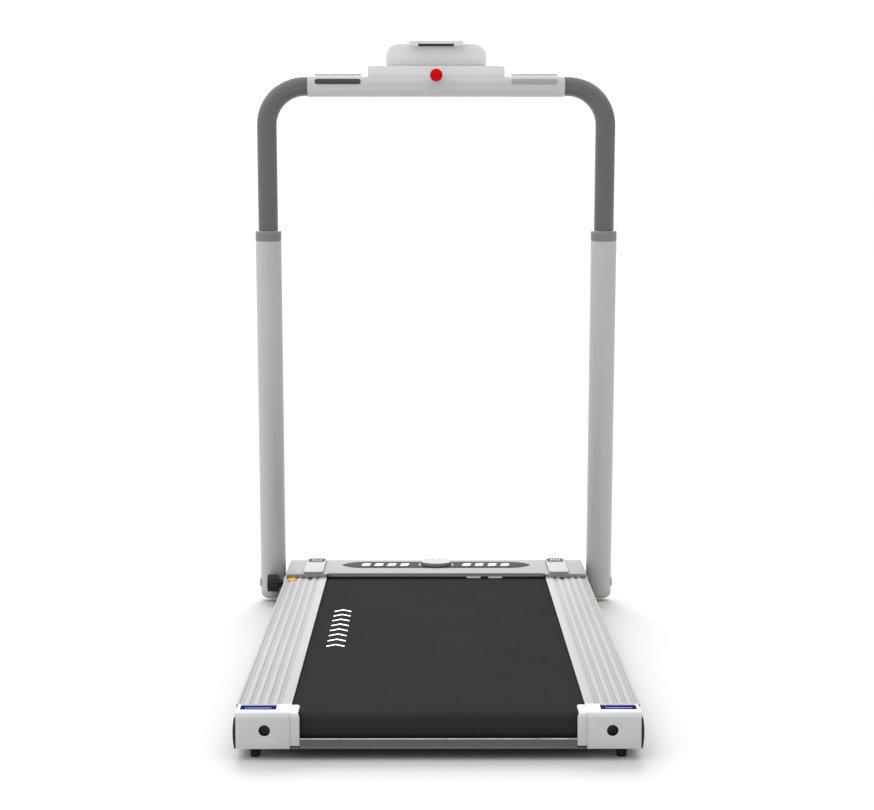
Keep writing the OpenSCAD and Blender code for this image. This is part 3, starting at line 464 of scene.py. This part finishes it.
# %% Softened nodes
EDGE_RADIUS = {
    2.5: ["console_tray"],
    2.0: ["motor_hood", "end_cap_left", "end_cap_right"],
    1.2: ["grip_cover", "phone_clip", "hood_risers", "belt_guards"],
    1.0: ["phone_rest", "lock_knob", "feet", "transport_wheel_left", "transport_wheel_right"],
    0.8: ["hinge_plates", "pivot_caps", "collars", "post_plugs", "side_panels"],
    0.5: ["foot_rail_left", "foot_rail_right", "riser_inserts", "hood_lip", "belly_pan",
          "power_inlet", "tension_bolt_left", "tension_bolt_right", "post_left", "post_right",
          "lock_washer", "rocker_switch", "display_panel"],
    0.3: ["handle_tube", "dial_ring", "casing_screws", "running_belt", "rear_roller_axle",
          "rear_pan"],
}
for radius, nodes in EDGE_RADIUS.items():
    for node in nodes:
        soften(node, radius)
print("softened:", sum(len(n) for n in EDGE_RADIUS.values()), "nodes")

# %% [markdown]
# ## Hidden working parts
# The motor, the board, the rollers and the beams can be seen only with the hood off or
# from below. They keep their exact solids and only get a finish.

# %% Finishes on the nodes that stay
for name, node in frame["nodes"].items():
    if node.hide_render:
        continue
    node.data.materials.clear()
    node.data.materials.append(FINISH[slot_of_node[name]])
    for face in node.data.polygons:
        face.material_index = 0

# %% [markdown]
# ## Repeating parts with Geometry Nodes
# Louvres, digits, knurls and screws are one small shape set out many times. Two node trees
# cover them all: a row along a line and a ring round an axis. The worker object's own mesh
# is the item, so nothing else has to be in the scene, and the result is made real and kept
# as a plain mesh.

# %% The row and ring trees
def geometry_tree(name, sockets):
    tree = bpy.data.node_groups.new(name, "GeometryNodeTree")
    tree.interface.new_socket("Item", in_out="INPUT", socket_type="NodeSocketGeometry")
    for label, kind in sockets:
        tree.interface.new_socket(label, in_out="INPUT", socket_type="NodeSocket" + kind)
    tree.interface.new_socket("Geometry", in_out="OUTPUT", socket_type="NodeSocketGeometry")
    return tree, tree.nodes.new("NodeGroupInput"), tree.nodes.new("NodeGroupOutput")


def finish_tree(tree, start, end, points, rotation=None):
    """Sets the item on each point, makes the copies real and gives them their material."""
    copies = tree.nodes.new("GeometryNodeInstanceOnPoints")
    real = tree.nodes.new("GeometryNodeRealizeInstances")
    finish = tree.nodes.new("GeometryNodeSetMaterial")
    tree.links.new(points, copies.inputs["Points"])
    tree.links.new(start.outputs["Item"], copies.inputs["Instance"])
    if rotation:
        tree.links.new(rotation, copies.inputs["Rotation"])
    tree.links.new(copies.outputs[0], real.inputs[0])
    tree.links.new(real.outputs[0], finish.inputs["Geometry"])
    tree.links.new(start.outputs["Material"], finish.inputs["Material"])
    tree.links.new(finish.outputs[0], end.inputs["Geometry"])


row_tree, row_in, row_out = geometry_tree("Row Of Items", [
    ("Count", "Int"), ("Start", "Vector"), ("Step", "Vector"), ("Material", "Material")])
row_line = row_tree.nodes.new("GeometryNodeMeshLine")
row_line.mode = "OFFSET"
for label, socket in (("Count", "Count"), ("Start", "Start Location"), ("Step", "Offset")):
    row_tree.links.new(row_in.outputs[label], row_line.inputs[socket])
finish_tree(row_tree, row_in, row_out, row_line.outputs[0])

ring_tree, ring_in, ring_out = geometry_tree("Ring Of Items", [
    ("Count", "Int"), ("Radius", "Float"), ("Material", "Material")])
ring_circle = ring_tree.nodes.new("GeometryNodeMeshCircle")
ring_tree.links.new(ring_in.outputs["Count"], ring_circle.inputs["Vertices"])
ring_tree.links.new(ring_in.outputs["Radius"], ring_circle.inputs["Radius"])
ring_index = ring_tree.nodes.new("GeometryNodeInputIndex").outputs[0]
ring_step = math_node(ring_tree, "DIVIDE", math.tau, ring_in.outputs["Count"])
ring_spin = ring_tree.nodes.new("ShaderNodeCombineXYZ")
ring_tree.links.new(math_node(ring_tree, "MULTIPLY", ring_index, ring_step),
                    ring_spin.inputs["Z"])
finish_tree(ring_tree, ring_in, ring_out, ring_circle.outputs[0], ring_spin.outputs[0])


def repeat(item, tree, slot, at=Matrix.Identity(4), **values):
    """Runs a tree on an item mesh, moves the result to its place and returns the mesh."""
    worker = bpy.data.objects.new("item", item)
    bpy.context.collection.objects.link(worker)
    modifier = worker.modifiers.new("repeat", "NODES")
    modifier.node_group = tree
    material = slot if isinstance(slot, bpy.types.Material) else FINISH[slot]
    for socket in tree.interface.items_tree:
        if socket.in_out == "INPUT" and socket.name != "Item":
            key = socket.name.lower()
            modifier[socket.identifier] = material if key == "material" else values[key]
    graph = bpy.context.evaluated_depsgraph_get()
    mesh = bpy.data.meshes.new_from_object(worker.evaluated_get(graph))
    bpy.data.objects.remove(worker)
    mesh.transform(at)
    smooth_by_angle(mesh)
    return mesh


print("trees:", row_tree.name, "and", ring_tree.name)

# %% [markdown]
# ## Small shapes to repeat
# A rounded bar, a pan-head screw and a turned profile are enough for most fittings. The
# bar is a box with a bevel, the screw is a lathe profile with a round recess in its head, and
# the lathe turns a list of radius and height pairs round Z.

# %% Bar, plate, lathe and screw
def bar(size, radius, segments=2):
    """A box of the given size in millimetres, centred on the origin, with soft edges."""
    shape = bmesh.new()
    bmesh.ops.create_cube(shape, size=1.0)
    bmesh.ops.scale(shape, vec=Vector(size) * MM, verts=shape.verts)
    if radius:
        bmesh.ops.bevel(shape, geom=shape.edges[:], offset=radius * MM, segments=segments,
                        profile=0.5, affect="EDGES", clamp_overlap=True)
    return to_mesh(shape, "bar")


def to_mesh(shape, name):
    bmesh.ops.remove_doubles(shape, verts=shape.verts, dist=0.001 * MM)
    bmesh.ops.recalc_face_normals(shape, faces=shape.faces)
    mesh = bpy.data.meshes.new(name)
    shape.to_mesh(mesh)
    shape.free()
    return mesh


def plate(outline, thickness, name="plate"):
    """A flat plate from an outline in millimetres, standing up from z = 0."""
    shape = bmesh.new()
    face = shape.faces.new([shape.verts.new((x * MM, y * MM, 0)) for x, y in outline])
    top = bmesh.ops.extrude_face_region(shape, geom=[face])
    lifted = [v for v in top["geom"] if isinstance(v, bmesh.types.BMVert)]
    bmesh.ops.translate(shape, vec=(0, 0, thickness * MM), verts=lifted)
    return to_mesh(shape, name)


def lathe(profile, steps=96, name="turned"):
    """Turns (radius, height) pairs in millimetres round Z."""
    shape = bmesh.new()
    line = [shape.verts.new((r * MM, 0, z * MM)) for r, z in profile]
    edges = [shape.edges.new(pair) for pair in zip(line, line[1:])]
    bmesh.ops.spin(shape, geom=line + edges, cent=(0, 0, 0), axis=(0, 0, 1),
                   angle=math.tau, steps=steps, use_duplicate=False)
    return to_mesh(shape, name)


def arc(cx, cz, radius, start, end, steps=6):
    """Points on an arc, with its angles in degrees."""
    turns = [math.radians(start + (end - start) * i / steps) for i in range(steps + 1)]
    return [(cx + radius * math.cos(t), cz + radius * math.sin(t)) for t in turns]


def screw_head(radius=3.2, height=1.6):
    """A pan head with a recess, its seat at z = 0."""
    dome = arc(0, height - radius * 1.6, radius * 1.6, 68, 52, 4)
    rim = [(radius, height * 0.35), (radius, 0), (0, 0)]
    recess = [(0, height * 0.35), (radius * 0.34, height * 0.4), (radius * 0.4, dome[0][1])]
    return lathe(recess + dome + rim, 24, "screw_head")


def joined(meshes, name):
    """Several meshes as one."""
    shape = bmesh.new()
    for mesh in meshes:
        shape.from_mesh(mesh)
    result = bpy.data.meshes.new(name)
    shape.to_mesh(result)
    shape.free()
    return result


def moved(mesh, matrix):
    mesh.transform(matrix)
    return mesh


def shift(x, y, z):
    return Matrix.Translation((x, y, z))


# %% [markdown]
# ## The hood's display, with its two rows of digits
# On the grey panel are two groups of four seven-segment digits, printed in white.
# One digit is seven pointed bars, slanted a little; the row tree sets four of them out on
# each side of the dial. They are thin solids and not a picture, so they stay sharp at any
# distance.

# %% Seven-segment digits
panel_low, panel_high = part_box("display_panel")
panel_mid = (panel_low + panel_high) / 2
white_ink = skin("white_ink", (0.82, 0.82, 0.83), 0.4, bump=0.01, dust=0.02)
DIGIT_W = 16.0
DIGIT_H = 27.0
STROKE = 4.2
SLANT = 0.16


def segment(length):
    half, w = length / 2 - 0.5, STROKE / 2
    return [(-half, 0), (-half + w, w), (half - w, w), (half, 0), (half - w, -w), (-half + w, -w)]


def digit():
    """A slanted figure eight in seven bars, lying flat."""
    across, upright = DIGIT_W - STROKE, (DIGIT_H - STROKE) / 2
    bars = [(0, y, across, 0) for y in (-upright, 0, upright)]
    bars += [(sx * across / 2, sy * upright / 2, upright, 90) for sx in (-1, 1) for sy in (-1, 1)]
    made = []
    for x, y, length, turn in bars:
        mesh = plate(segment(length), 0.15)
        mesh.transform(shift(x * MM, y * MM, 0) @ Matrix.Rotation(math.radians(turn), 4, "Z"))
        made.append(mesh)
    figure = joined(made, "digit")
    figure.transform(Matrix(((1, SLANT, 0, 0), (0, 1, 0, 0), (0, 0, 1, 0), (0, 0, 0, 1))))
    return figure


DIGIT_PITCH = 25.5
FIRST_DIGIT = (-139.0, 60.5)
digit_rows = [
    repeat(digit(), row_tree, white_ink, count=4, step=(DIGIT_PITCH * MM, 0, 0),
           start=(x * MM, panel_mid.y, panel_high.z + 0.02 * MM)) for x in FIRST_DIGIT]
digits = place(joined(digit_rows, "display_digits"), "display_digits", "deck", white_ink)
print("digit faces:", len(digits.data.polygons))

# %% [markdown]
# ## The speed dial
# A broad dial with a dished top and a finely ribbed rim. It is turned from a profile, and
# the ring tree adds the ribs. A pointer line shows that it turns.

# %% Speed dial
dial_low, dial_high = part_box("speed_dial")
DIAL_R = (dial_high.x - dial_low.x) / 2 / MM
RIM = 1.4
DIAL_DEEP = 6.8
DISH = 1.9
DISH_R = DIAL_R - 2.4
RIBS = 90
dish = [(r, -DISH * (1 - (r / DISH_R) ** 2)) for r in [DISH_R * i / 14 for i in range(15)]]
dial_profile = dish + arc(DIAL_R - RIM - 0.4, -RIM, RIM, 90, 0) + [
    (DIAL_R - 0.4, -DIAL_DEEP + 0.6), (DIAL_R - 1.0, -DIAL_DEEP), (3.0, -DIAL_DEEP),
    (3.0, -DIAL_DEEP - 10.5), (0.0, -DIAL_DEEP - 10.5)]
dial_centre = shift((dial_low.x + dial_high.x) / 2, (dial_low.y + dial_high.y) / 2, dial_high.z)
dial_mesh = moved(lathe(dial_profile, 128), dial_centre)
knurl = repeat(bar((0.9, 1.1, 4.6), 0.35), ring_tree, "dial_plastic", count=RIBS,
               radius=(DIAL_R - 0.5) * MM, at=dial_centre @ shift(0, 0, -3.9 * MM))
dial_mesh = joined([dial_mesh, knurl], "dial")
smooth_by_angle(dial_mesh)
place(dial_mesh, "speed_dial_turned", "dial", "dial_plastic", ["speed_dial"])
pointer = moved(bar((1.6, 9.0, 0.5), 0.2), dial_centre @ shift(0, (DIAL_R - 9) * MM, -0.55 * MM))
place(pointer, "speed_dial_pointer", "dial", white_ink)

# %% [markdown]
# ## The stop button
# A soft-edged mushroom with a shallow dome. Its axis is the direction it is pressed in,
# which the joint gives, so the dome faces the walker at the right tilt.

# %% Stop button
press = Vector(joints["stop_button_press"]["axis"]).normalized()


def far_point(node, direction):
    """The middle of a node's farthest points in a direction."""
    points = [v.co for v in frame["nodes"][node].data.vertices]
    best = max(p.dot(direction) for p in points)
    end = [p for p in points if p.dot(direction) > best - 0.02 * MM]
    low = Vector(min(p[i] for p in end) for i in range(3))
    high = Vector(max(p[i] for p in end) for i in range(3))
    return (low + high) / 2


def facing(direction, origin):
    """A matrix whose Z points along a direction, with X kept level."""
    z = direction.normalized()
    x = Vector((1, 0, 0)) if abs(z.x) < 0.9 else Vector((0, 0, 1))
    y = z.cross(x).normalized()
    return Matrix.Translation(origin) @ Matrix((y.cross(z), y, z)).transposed().to_4x4()


BUTTON_R = 12.0
BUTTON_T = 8.0
dome = [(0.0, 0.9)] + arc(0, 0.9 - 60, 60, 90 - 2, 90 - 9, 4)
rounded = arc(BUTTON_R - 2.6, -2.6, 2.6, 80, 0, 6)
button_profile = dome + rounded + [
    (BUTTON_R, -BUTTON_T + 0.8), (BUTTON_R - 0.8, -BUTTON_T), (5.0, -BUTTON_T),
    (5.0, -BUTTON_T - 12), (0.0, -BUTTON_T - 12)]
button_mesh = moved(lathe(button_profile, 72), facing(-press, far_point("emergency_button", -press)))
smooth_by_angle(button_mesh, 40)
place(button_mesh, "stop_button_dome", "stop_button", "red_plastic", ["emergency_button"])

# %% [markdown]
# ## The pulse plates
# Two slim plates with round ends, let into the front of the crossbar cover. They follow the
# cover's rounded front, so each is a small grid bent over that section and then thickened.

# %% Pulse plates
TUBE_R = 19.0
BAR_CENTRE = ((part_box("handle_tube")[1].z - PIVOT.z) / MM - TUBE_R) / UP.z
print("crossbar height along the posts in mm:", round(BAR_CENTRE, 1))
COVER_D = 50.0
COVER_H = 41.0
COVER_R = 16.0
PLATE_Z = 9.0


def pulse_plate(node, slot):
    low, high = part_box(node)
    side = 1 if low.x > 0 else -1
    length = (high.x - low.x) / MM
    middle = side * (abs(low.x + high.x) / 2) / MM
    half_w = 4.8
    shape = bmesh.new()
    columns, rows = 40, 10
    grid = []
    for i in range(columns + 1):
        u = -1 + 2 * i / columns
        x = math.copysign(1 - (1 - abs(u)) ** 1.6, u) * length / 2
        tip = max(0.0, abs(x) - (length / 2 - half_w))
        w = math.sqrt(max(half_w ** 2 - tip ** 2, 0.02))
        line = []
        for j in range(rows + 1):
            z = PLATE_Z + w * (-1 + 2 * j / rows)
            over = max(0.0, z - (COVER_H / 2 - COVER_R))
            y = -COVER_D / 2 + COVER_R - math.sqrt(COVER_R ** 2 - over ** 2)
            spot = ON_POSTS @ Vector(((middle + x) * MM, (y - 0.1) * MM, (BAR_CENTRE + z) * MM))
            line.append(shape.verts.new(spot))
        grid.append(line)
    for a, b in zip(grid, grid[1:]):
        for j in range(rows):
            shape.faces.new((a[j], b[j], b[j + 1], a[j + 1]))
    mesh = to_mesh(shape, node)
    if mesh.polygons[0].normal.y > 0:
        mesh.flip_normals()
    mesh = apply_modifiers(mesh, "work", ("SOLIDIFY", {"thickness": 0.9 * MM, "offset": 1.0}),
                           bevel(0.25 * MM, 2, 50))
    smooth_by_angle(mesh, 40)
    return place(mesh, node + "_pad", "handle", slot, [node])


pulse_plate("pulse_plate_left", "dark_pad")
pulse_plate("pulse_plate_right", "light_pad")

# %% [markdown]
# ## The phone rest's moulded rings
# Two raised rings on the plate mark where a phone's back sits. Each is a thin turned bead
# laid on the plate's front.

# %% Rings on the phone rest
REST_FRONT = 8.0
rest_mid = (ON_POSTS.inverted() @ ((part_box("phone_rest")[0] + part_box("phone_rest")[1]) / 2)).z


def bead(radius, thick):
    """A half-round ring, flat on z = 0."""
    return lathe([(radius - thick, 0)] + [(radius + x, z) for x, z in arc(0, 0, thick, 180, 0, 8)],
                 72, "bead")


ring_spot = ON_POSTS @ Vector((0, REST_FRONT * MM, rest_mid + 1 * MM))
ring_mesh = moved(joined([bead(11.5, 0.7), bead(19.0, 0.7)], "rings"), facing(-AWAY, ring_spot))
smooth_by_angle(ring_mesh)
place(ring_mesh, "phone_rest_rings", "handle", "console_plastic")

# %% [markdown]
# ## Painted gap shade, labels and markings
# A black strip under the hood's lip paints the shade in the gap above the belt. The rear
# caps carry a plain two-colour sticker and the left rail a plain amber one, with no words or
# symbols. The belt has a row of printed chevrons, which show which way it runs.

# %% Painted shade strip under the hood
hood_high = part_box("motor_hood")[1]
belt_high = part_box("running_belt")[1]
rail_low, rail_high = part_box("foot_rail_right")
SEAM_Y = rail_high.y
LIP_Y = SEAM_Y + 9 * MM
LIP_GAP = 3.5
gap_shade_strip = moved(bar((2 * rail_low.x / MM - 1.0, 2.0, LIP_GAP - 0.6), 0.5),
             shift(0, LIP_Y + 1.6 * MM, belt_high.z + (LIP_GAP + 0.6) / 2 * MM))
place(gap_shade_strip, "hood_gap_shade", "deck", "black_plastic")

# %% Labels
label_blue = skin("label_blue", (0.003, 0.018, 0.12), 0.9, bump=0.01, cloud=0.1, dust=0.0,
                  specular=0.0)
label_rose = skin("label_rose", (0.45, 0.05, 0.07), 0.9, bump=0.01, cloud=0.1, dust=0.0,
                  specular=0.0)
label_amber = skin("label_amber", (0.62, 0.31, 0.02), 0.9, bump=0.01, dust=0.0, specular=0.0)
LABEL_W = 52.0
LABEL_D = 31.0
LABEL_X = 0.259
LABEL_BAND = 5.0
cap_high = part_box("end_cap_right")[1]


def label(name, x, y, w, d, level, material):
    mesh = moved(bar((w, d, 0.16), 0.06), shift(x, y, level + 0.08 * MM))
    return place(mesh, name, "deck", material)


for side, word in ((-1, "left"), (1, "right")):
    x = side * LABEL_X
    near = cap_high.y - 2 * MM - LABEL_D * MM
    label(f"cap_label_{word}", x, near + (LABEL_D - LABEL_BAND) / 2 * MM, LABEL_W,
          LABEL_D - LABEL_BAND, cap_high.z, label_blue)
    label(f"cap_label_band_{word}", x, near + (LABEL_D - LABEL_BAND / 2) * MM, LABEL_W,
          LABEL_BAND, cap_high.z, label_rose)
    label(f"cap_label_line_{word}", x, near + (LABEL_D - LABEL_BAND) * MM, LABEL_W, 1.2,
          cap_high.z + 0.05 * MM, white_ink)
    label(f"cap_label_dash_{word}", x, near + 9 * MM, LABEL_W - 14, 0.9,
          cap_high.z + 0.05 * MM, white_ink)
label("rail_label", -0.279, SEAM_Y - 20 * MM, 14.0, 32.0, rail_high.z, label_amber)

# %% Tick marks on the grey inserts
INSERT_X = 0.239
TICK_PITCH = 0.0055
insert_low, insert_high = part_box("riser_inserts")
ticks = [repeat(bar((2.6, 6.0, 0.3), 0.1), row_tree, white_ink, count=4, step=(TICK_PITCH, 0, 0),
                start=(x - 1.5 * TICK_PITCH, (insert_low.y + insert_high.y) / 2, insert_high.z))
         for x in (-INSERT_X, INSERT_X)]
place(joined(ticks, "insert_ticks"), "insert_ticks", "deck", white_ink)

# %% Belt chevrons
CHEVRON_START = (-0.168, -0.158)
CHEVRON_PITCH = 0.041
CHEVRON = [(-15, -10), (0, 4), (15, -10), (15, -2), (0, 12), (-15, -2)]
chevrons = repeat(plate(CHEVRON, 0.05), row_tree, white_ink, count=8,
                  start=(*CHEVRON_START, belt_high.z - 0.01 * MM), step=(0, CHEVRON_PITCH, 0))
place(chevrons, "belt_chevrons", "deck", white_ink)
# White dashes on the black strip that paints the shade under the hood.
dashes = repeat(bar((27, 0.5, 3.0), 0.1), row_tree, white_ink, count=2,
                start=(0.073, LIP_Y + 0.2 * MM, belt_high.z + 2.1 * MM), step=(0.042, 0, 0))
place(dashes, "gap_strip_dashes", "deck", white_ink)

# %% [markdown]
# ## Painted shade under the clip
# A black strip sits under the clip's hook, between its two lugs, and paints the shade under
# it. It moves with the clip.

# %% Painted shade strip
REST_ABOVE_BAR = 79.5
REST_TOP = BAR_CENTRE + REST_ABOVE_BAR
clip_shade_strip = moved(bar((68.0, 4.5, 5.5), 0.8), ON_POSTS @ shift(0, 1.6 * MM, (REST_TOP - 1.7) * MM))
place(clip_shade_strip, "clip_painted_shade", "clip", "drive_rubber")

# %% [markdown]
# ## Screws, louvres and tread
# The floor of the motor bay is screwed to the beams, the hood breathes through louvres on
# its front, and the transport wheels have moulded tread blocks. All of them come from the
# two trees.

# %% Screws under the deck
BEAM_X = 0.2485
pan_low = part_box("belly_pan")[0]
screw_rows = [
    moved(repeat(screw_head(), row_tree, "zinc_steel", count=3, start=(x, 0, 0),
                 step=(0, 0.062, 0)),
          shift(0, pan_low.y + 25 * MM, pan_low.z) @ Matrix.Scale(-1, 4, (0, 0, 1)))
    for x in (-BEAM_X, BEAM_X)]
for mesh in screw_rows:
    mesh.flip_normals()
place(joined(screw_rows, "belly_screws"), "belly_screws", "deck", "zinc_steel")

# %% Louvres on the hood's front
louvre = bar((4.0, 1.0, 20.0), 0.45)
louvres = repeat(louvre, row_tree, "black_plastic", count=24,
                 start=(0.03, hood_high.y - 0.35 * MM, 0.032), step=(0.009, 0, 0))
place(louvres, "hood_louvres", "deck", "black_plastic")

# %% Wheel tread
for word in ("left", "right"):
    low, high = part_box("transport_wheel_" + word)
    middle = (low + high) / 2
    radius = (high.z - low.z) / 2
    blocks = repeat(bar((1.2, 2.4, 12.0), 0.4), ring_tree, "wheel_rubber", count=28,
                    radius=radius - 0.3 * MM,
                    at=Matrix.Translation(middle) @ Matrix.Rotation(math.pi / 2, 4, "Y"))
    place(blocks, f"wheel_tread_{word}", "wheel_" + word, "wheel_rubber")

# %% [markdown]
# ## Camera, light and floor
# The view is from behind the walker's end, at about hip height, through a long lens, which
# keeps the posts nearly upright. A pale studio floor, a bright sky and one broad soft lamp
# above and in front of the treadmill give the soft shadow that falls towards the viewer.

# %% Camera
SENSOR = 36.0
LENS = 82.96
CAMERA_X = -0.012
CAMERA_BACK = 3.862
CAMERA_HEIGHT = 0.788
CAMERA_PITCH = 5.643
CAMERA_YAW = -0.2
camera_data = bpy.data.cameras.new("camera")
camera_data.sensor_width = SENSOR
camera_data.lens = LENS
camera_data.clip_end = 50
camera = bpy.data.objects.new("camera", camera_data)
camera.location = (CAMERA_X, SEAM_Y - CAMERA_BACK, CAMERA_HEIGHT)
camera.rotation_euler = (math.radians(90 - CAMERA_PITCH), 0, math.radians(CAMERA_YAW))
bpy.context.collection.objects.link(camera)
bpy.context.scene.camera = camera

# %% Lamp and sky
LAMP_DIRECTION = Vector((0.08, -1.4, -1.0))
lamp_data = bpy.data.lights.new("overhead", "SUN")
lamp_data.energy = 3.4
lamp_data.angle = math.radians(40)
lamp = bpy.data.objects.new("overhead", lamp_data)
lamp.rotation_euler = LAMP_DIRECTION.to_track_quat("-Z", "Y").to_euler()
bpy.context.collection.objects.link(lamp)


def ramp(tree, value, start, end, low, high):
    """Maps a value between two ends, smoothly and without going past them."""
    node = tree.nodes.new("ShaderNodeMapRange")
    node.interpolation_type = "SMOOTHSTEP"
    tree.links.new(value, node.inputs["Value"])
    for i, number in enumerate((start, end, low, high)):
        node.inputs[i + 1].default_value = number
    return node.outputs[0]


sky = bpy.data.worlds.new("sky")
sky.use_nodes = True
sky_tree = sky.node_tree
sky_split = sky_tree.nodes.new("ShaderNodeSeparateXYZ")
sky_tree.links.new(sky_tree.nodes.new("ShaderNodeTexCoord").outputs["Generated"],
                   sky_split.inputs[0])
sky_back = ramp(sky_tree, sky_split.outputs["Y"], 0.6, 0.95, 0.46, 1.06)
sky_left = ramp(sky_tree, sky_split.outputs["X"], 0.2, -1.0, -0.06, 0.5)
sky_top = ramp(sky_tree, sky_split.outputs["Z"], 0.0, 1.0, 0.0, 1.2)
sky_sum = math_node(sky_tree, "ADD", math_node(sky_tree, "ADD", sky_back, sky_left), sky_top)
sky_background = sky_tree.nodes["Background"]
sky_background.inputs["Color"].default_value = (1, 1, 1, 1)
sky_tree.links.new(sky_sum, sky_background.inputs["Strength"])
bpy.context.scene.world = sky
bpy.context.scene.view_settings.view_transform = "Standard"

# %% Floor
floor_shape = bmesh.new()
bmesh.ops.create_grid(floor_shape, x_segments=1, y_segments=1, size=30)
floor = bpy.data.objects.new("floor", to_mesh(floor_shape, "floor"))
bpy.context.collection.objects.link(floor)
paper, _, paper_shader = new_material("paper", 0.9)
paper_shader.inputs["Base Color"].default_value = (0.54, 0.54, 0.54, 1)
paper_shader.inputs["Specular IOR Level"].default_value = 0.0
floor.data.materials.append(paper)
floor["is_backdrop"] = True

# %% Measure the scene's bounds and finish
bpy.context.view_layer.update()
low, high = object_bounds()
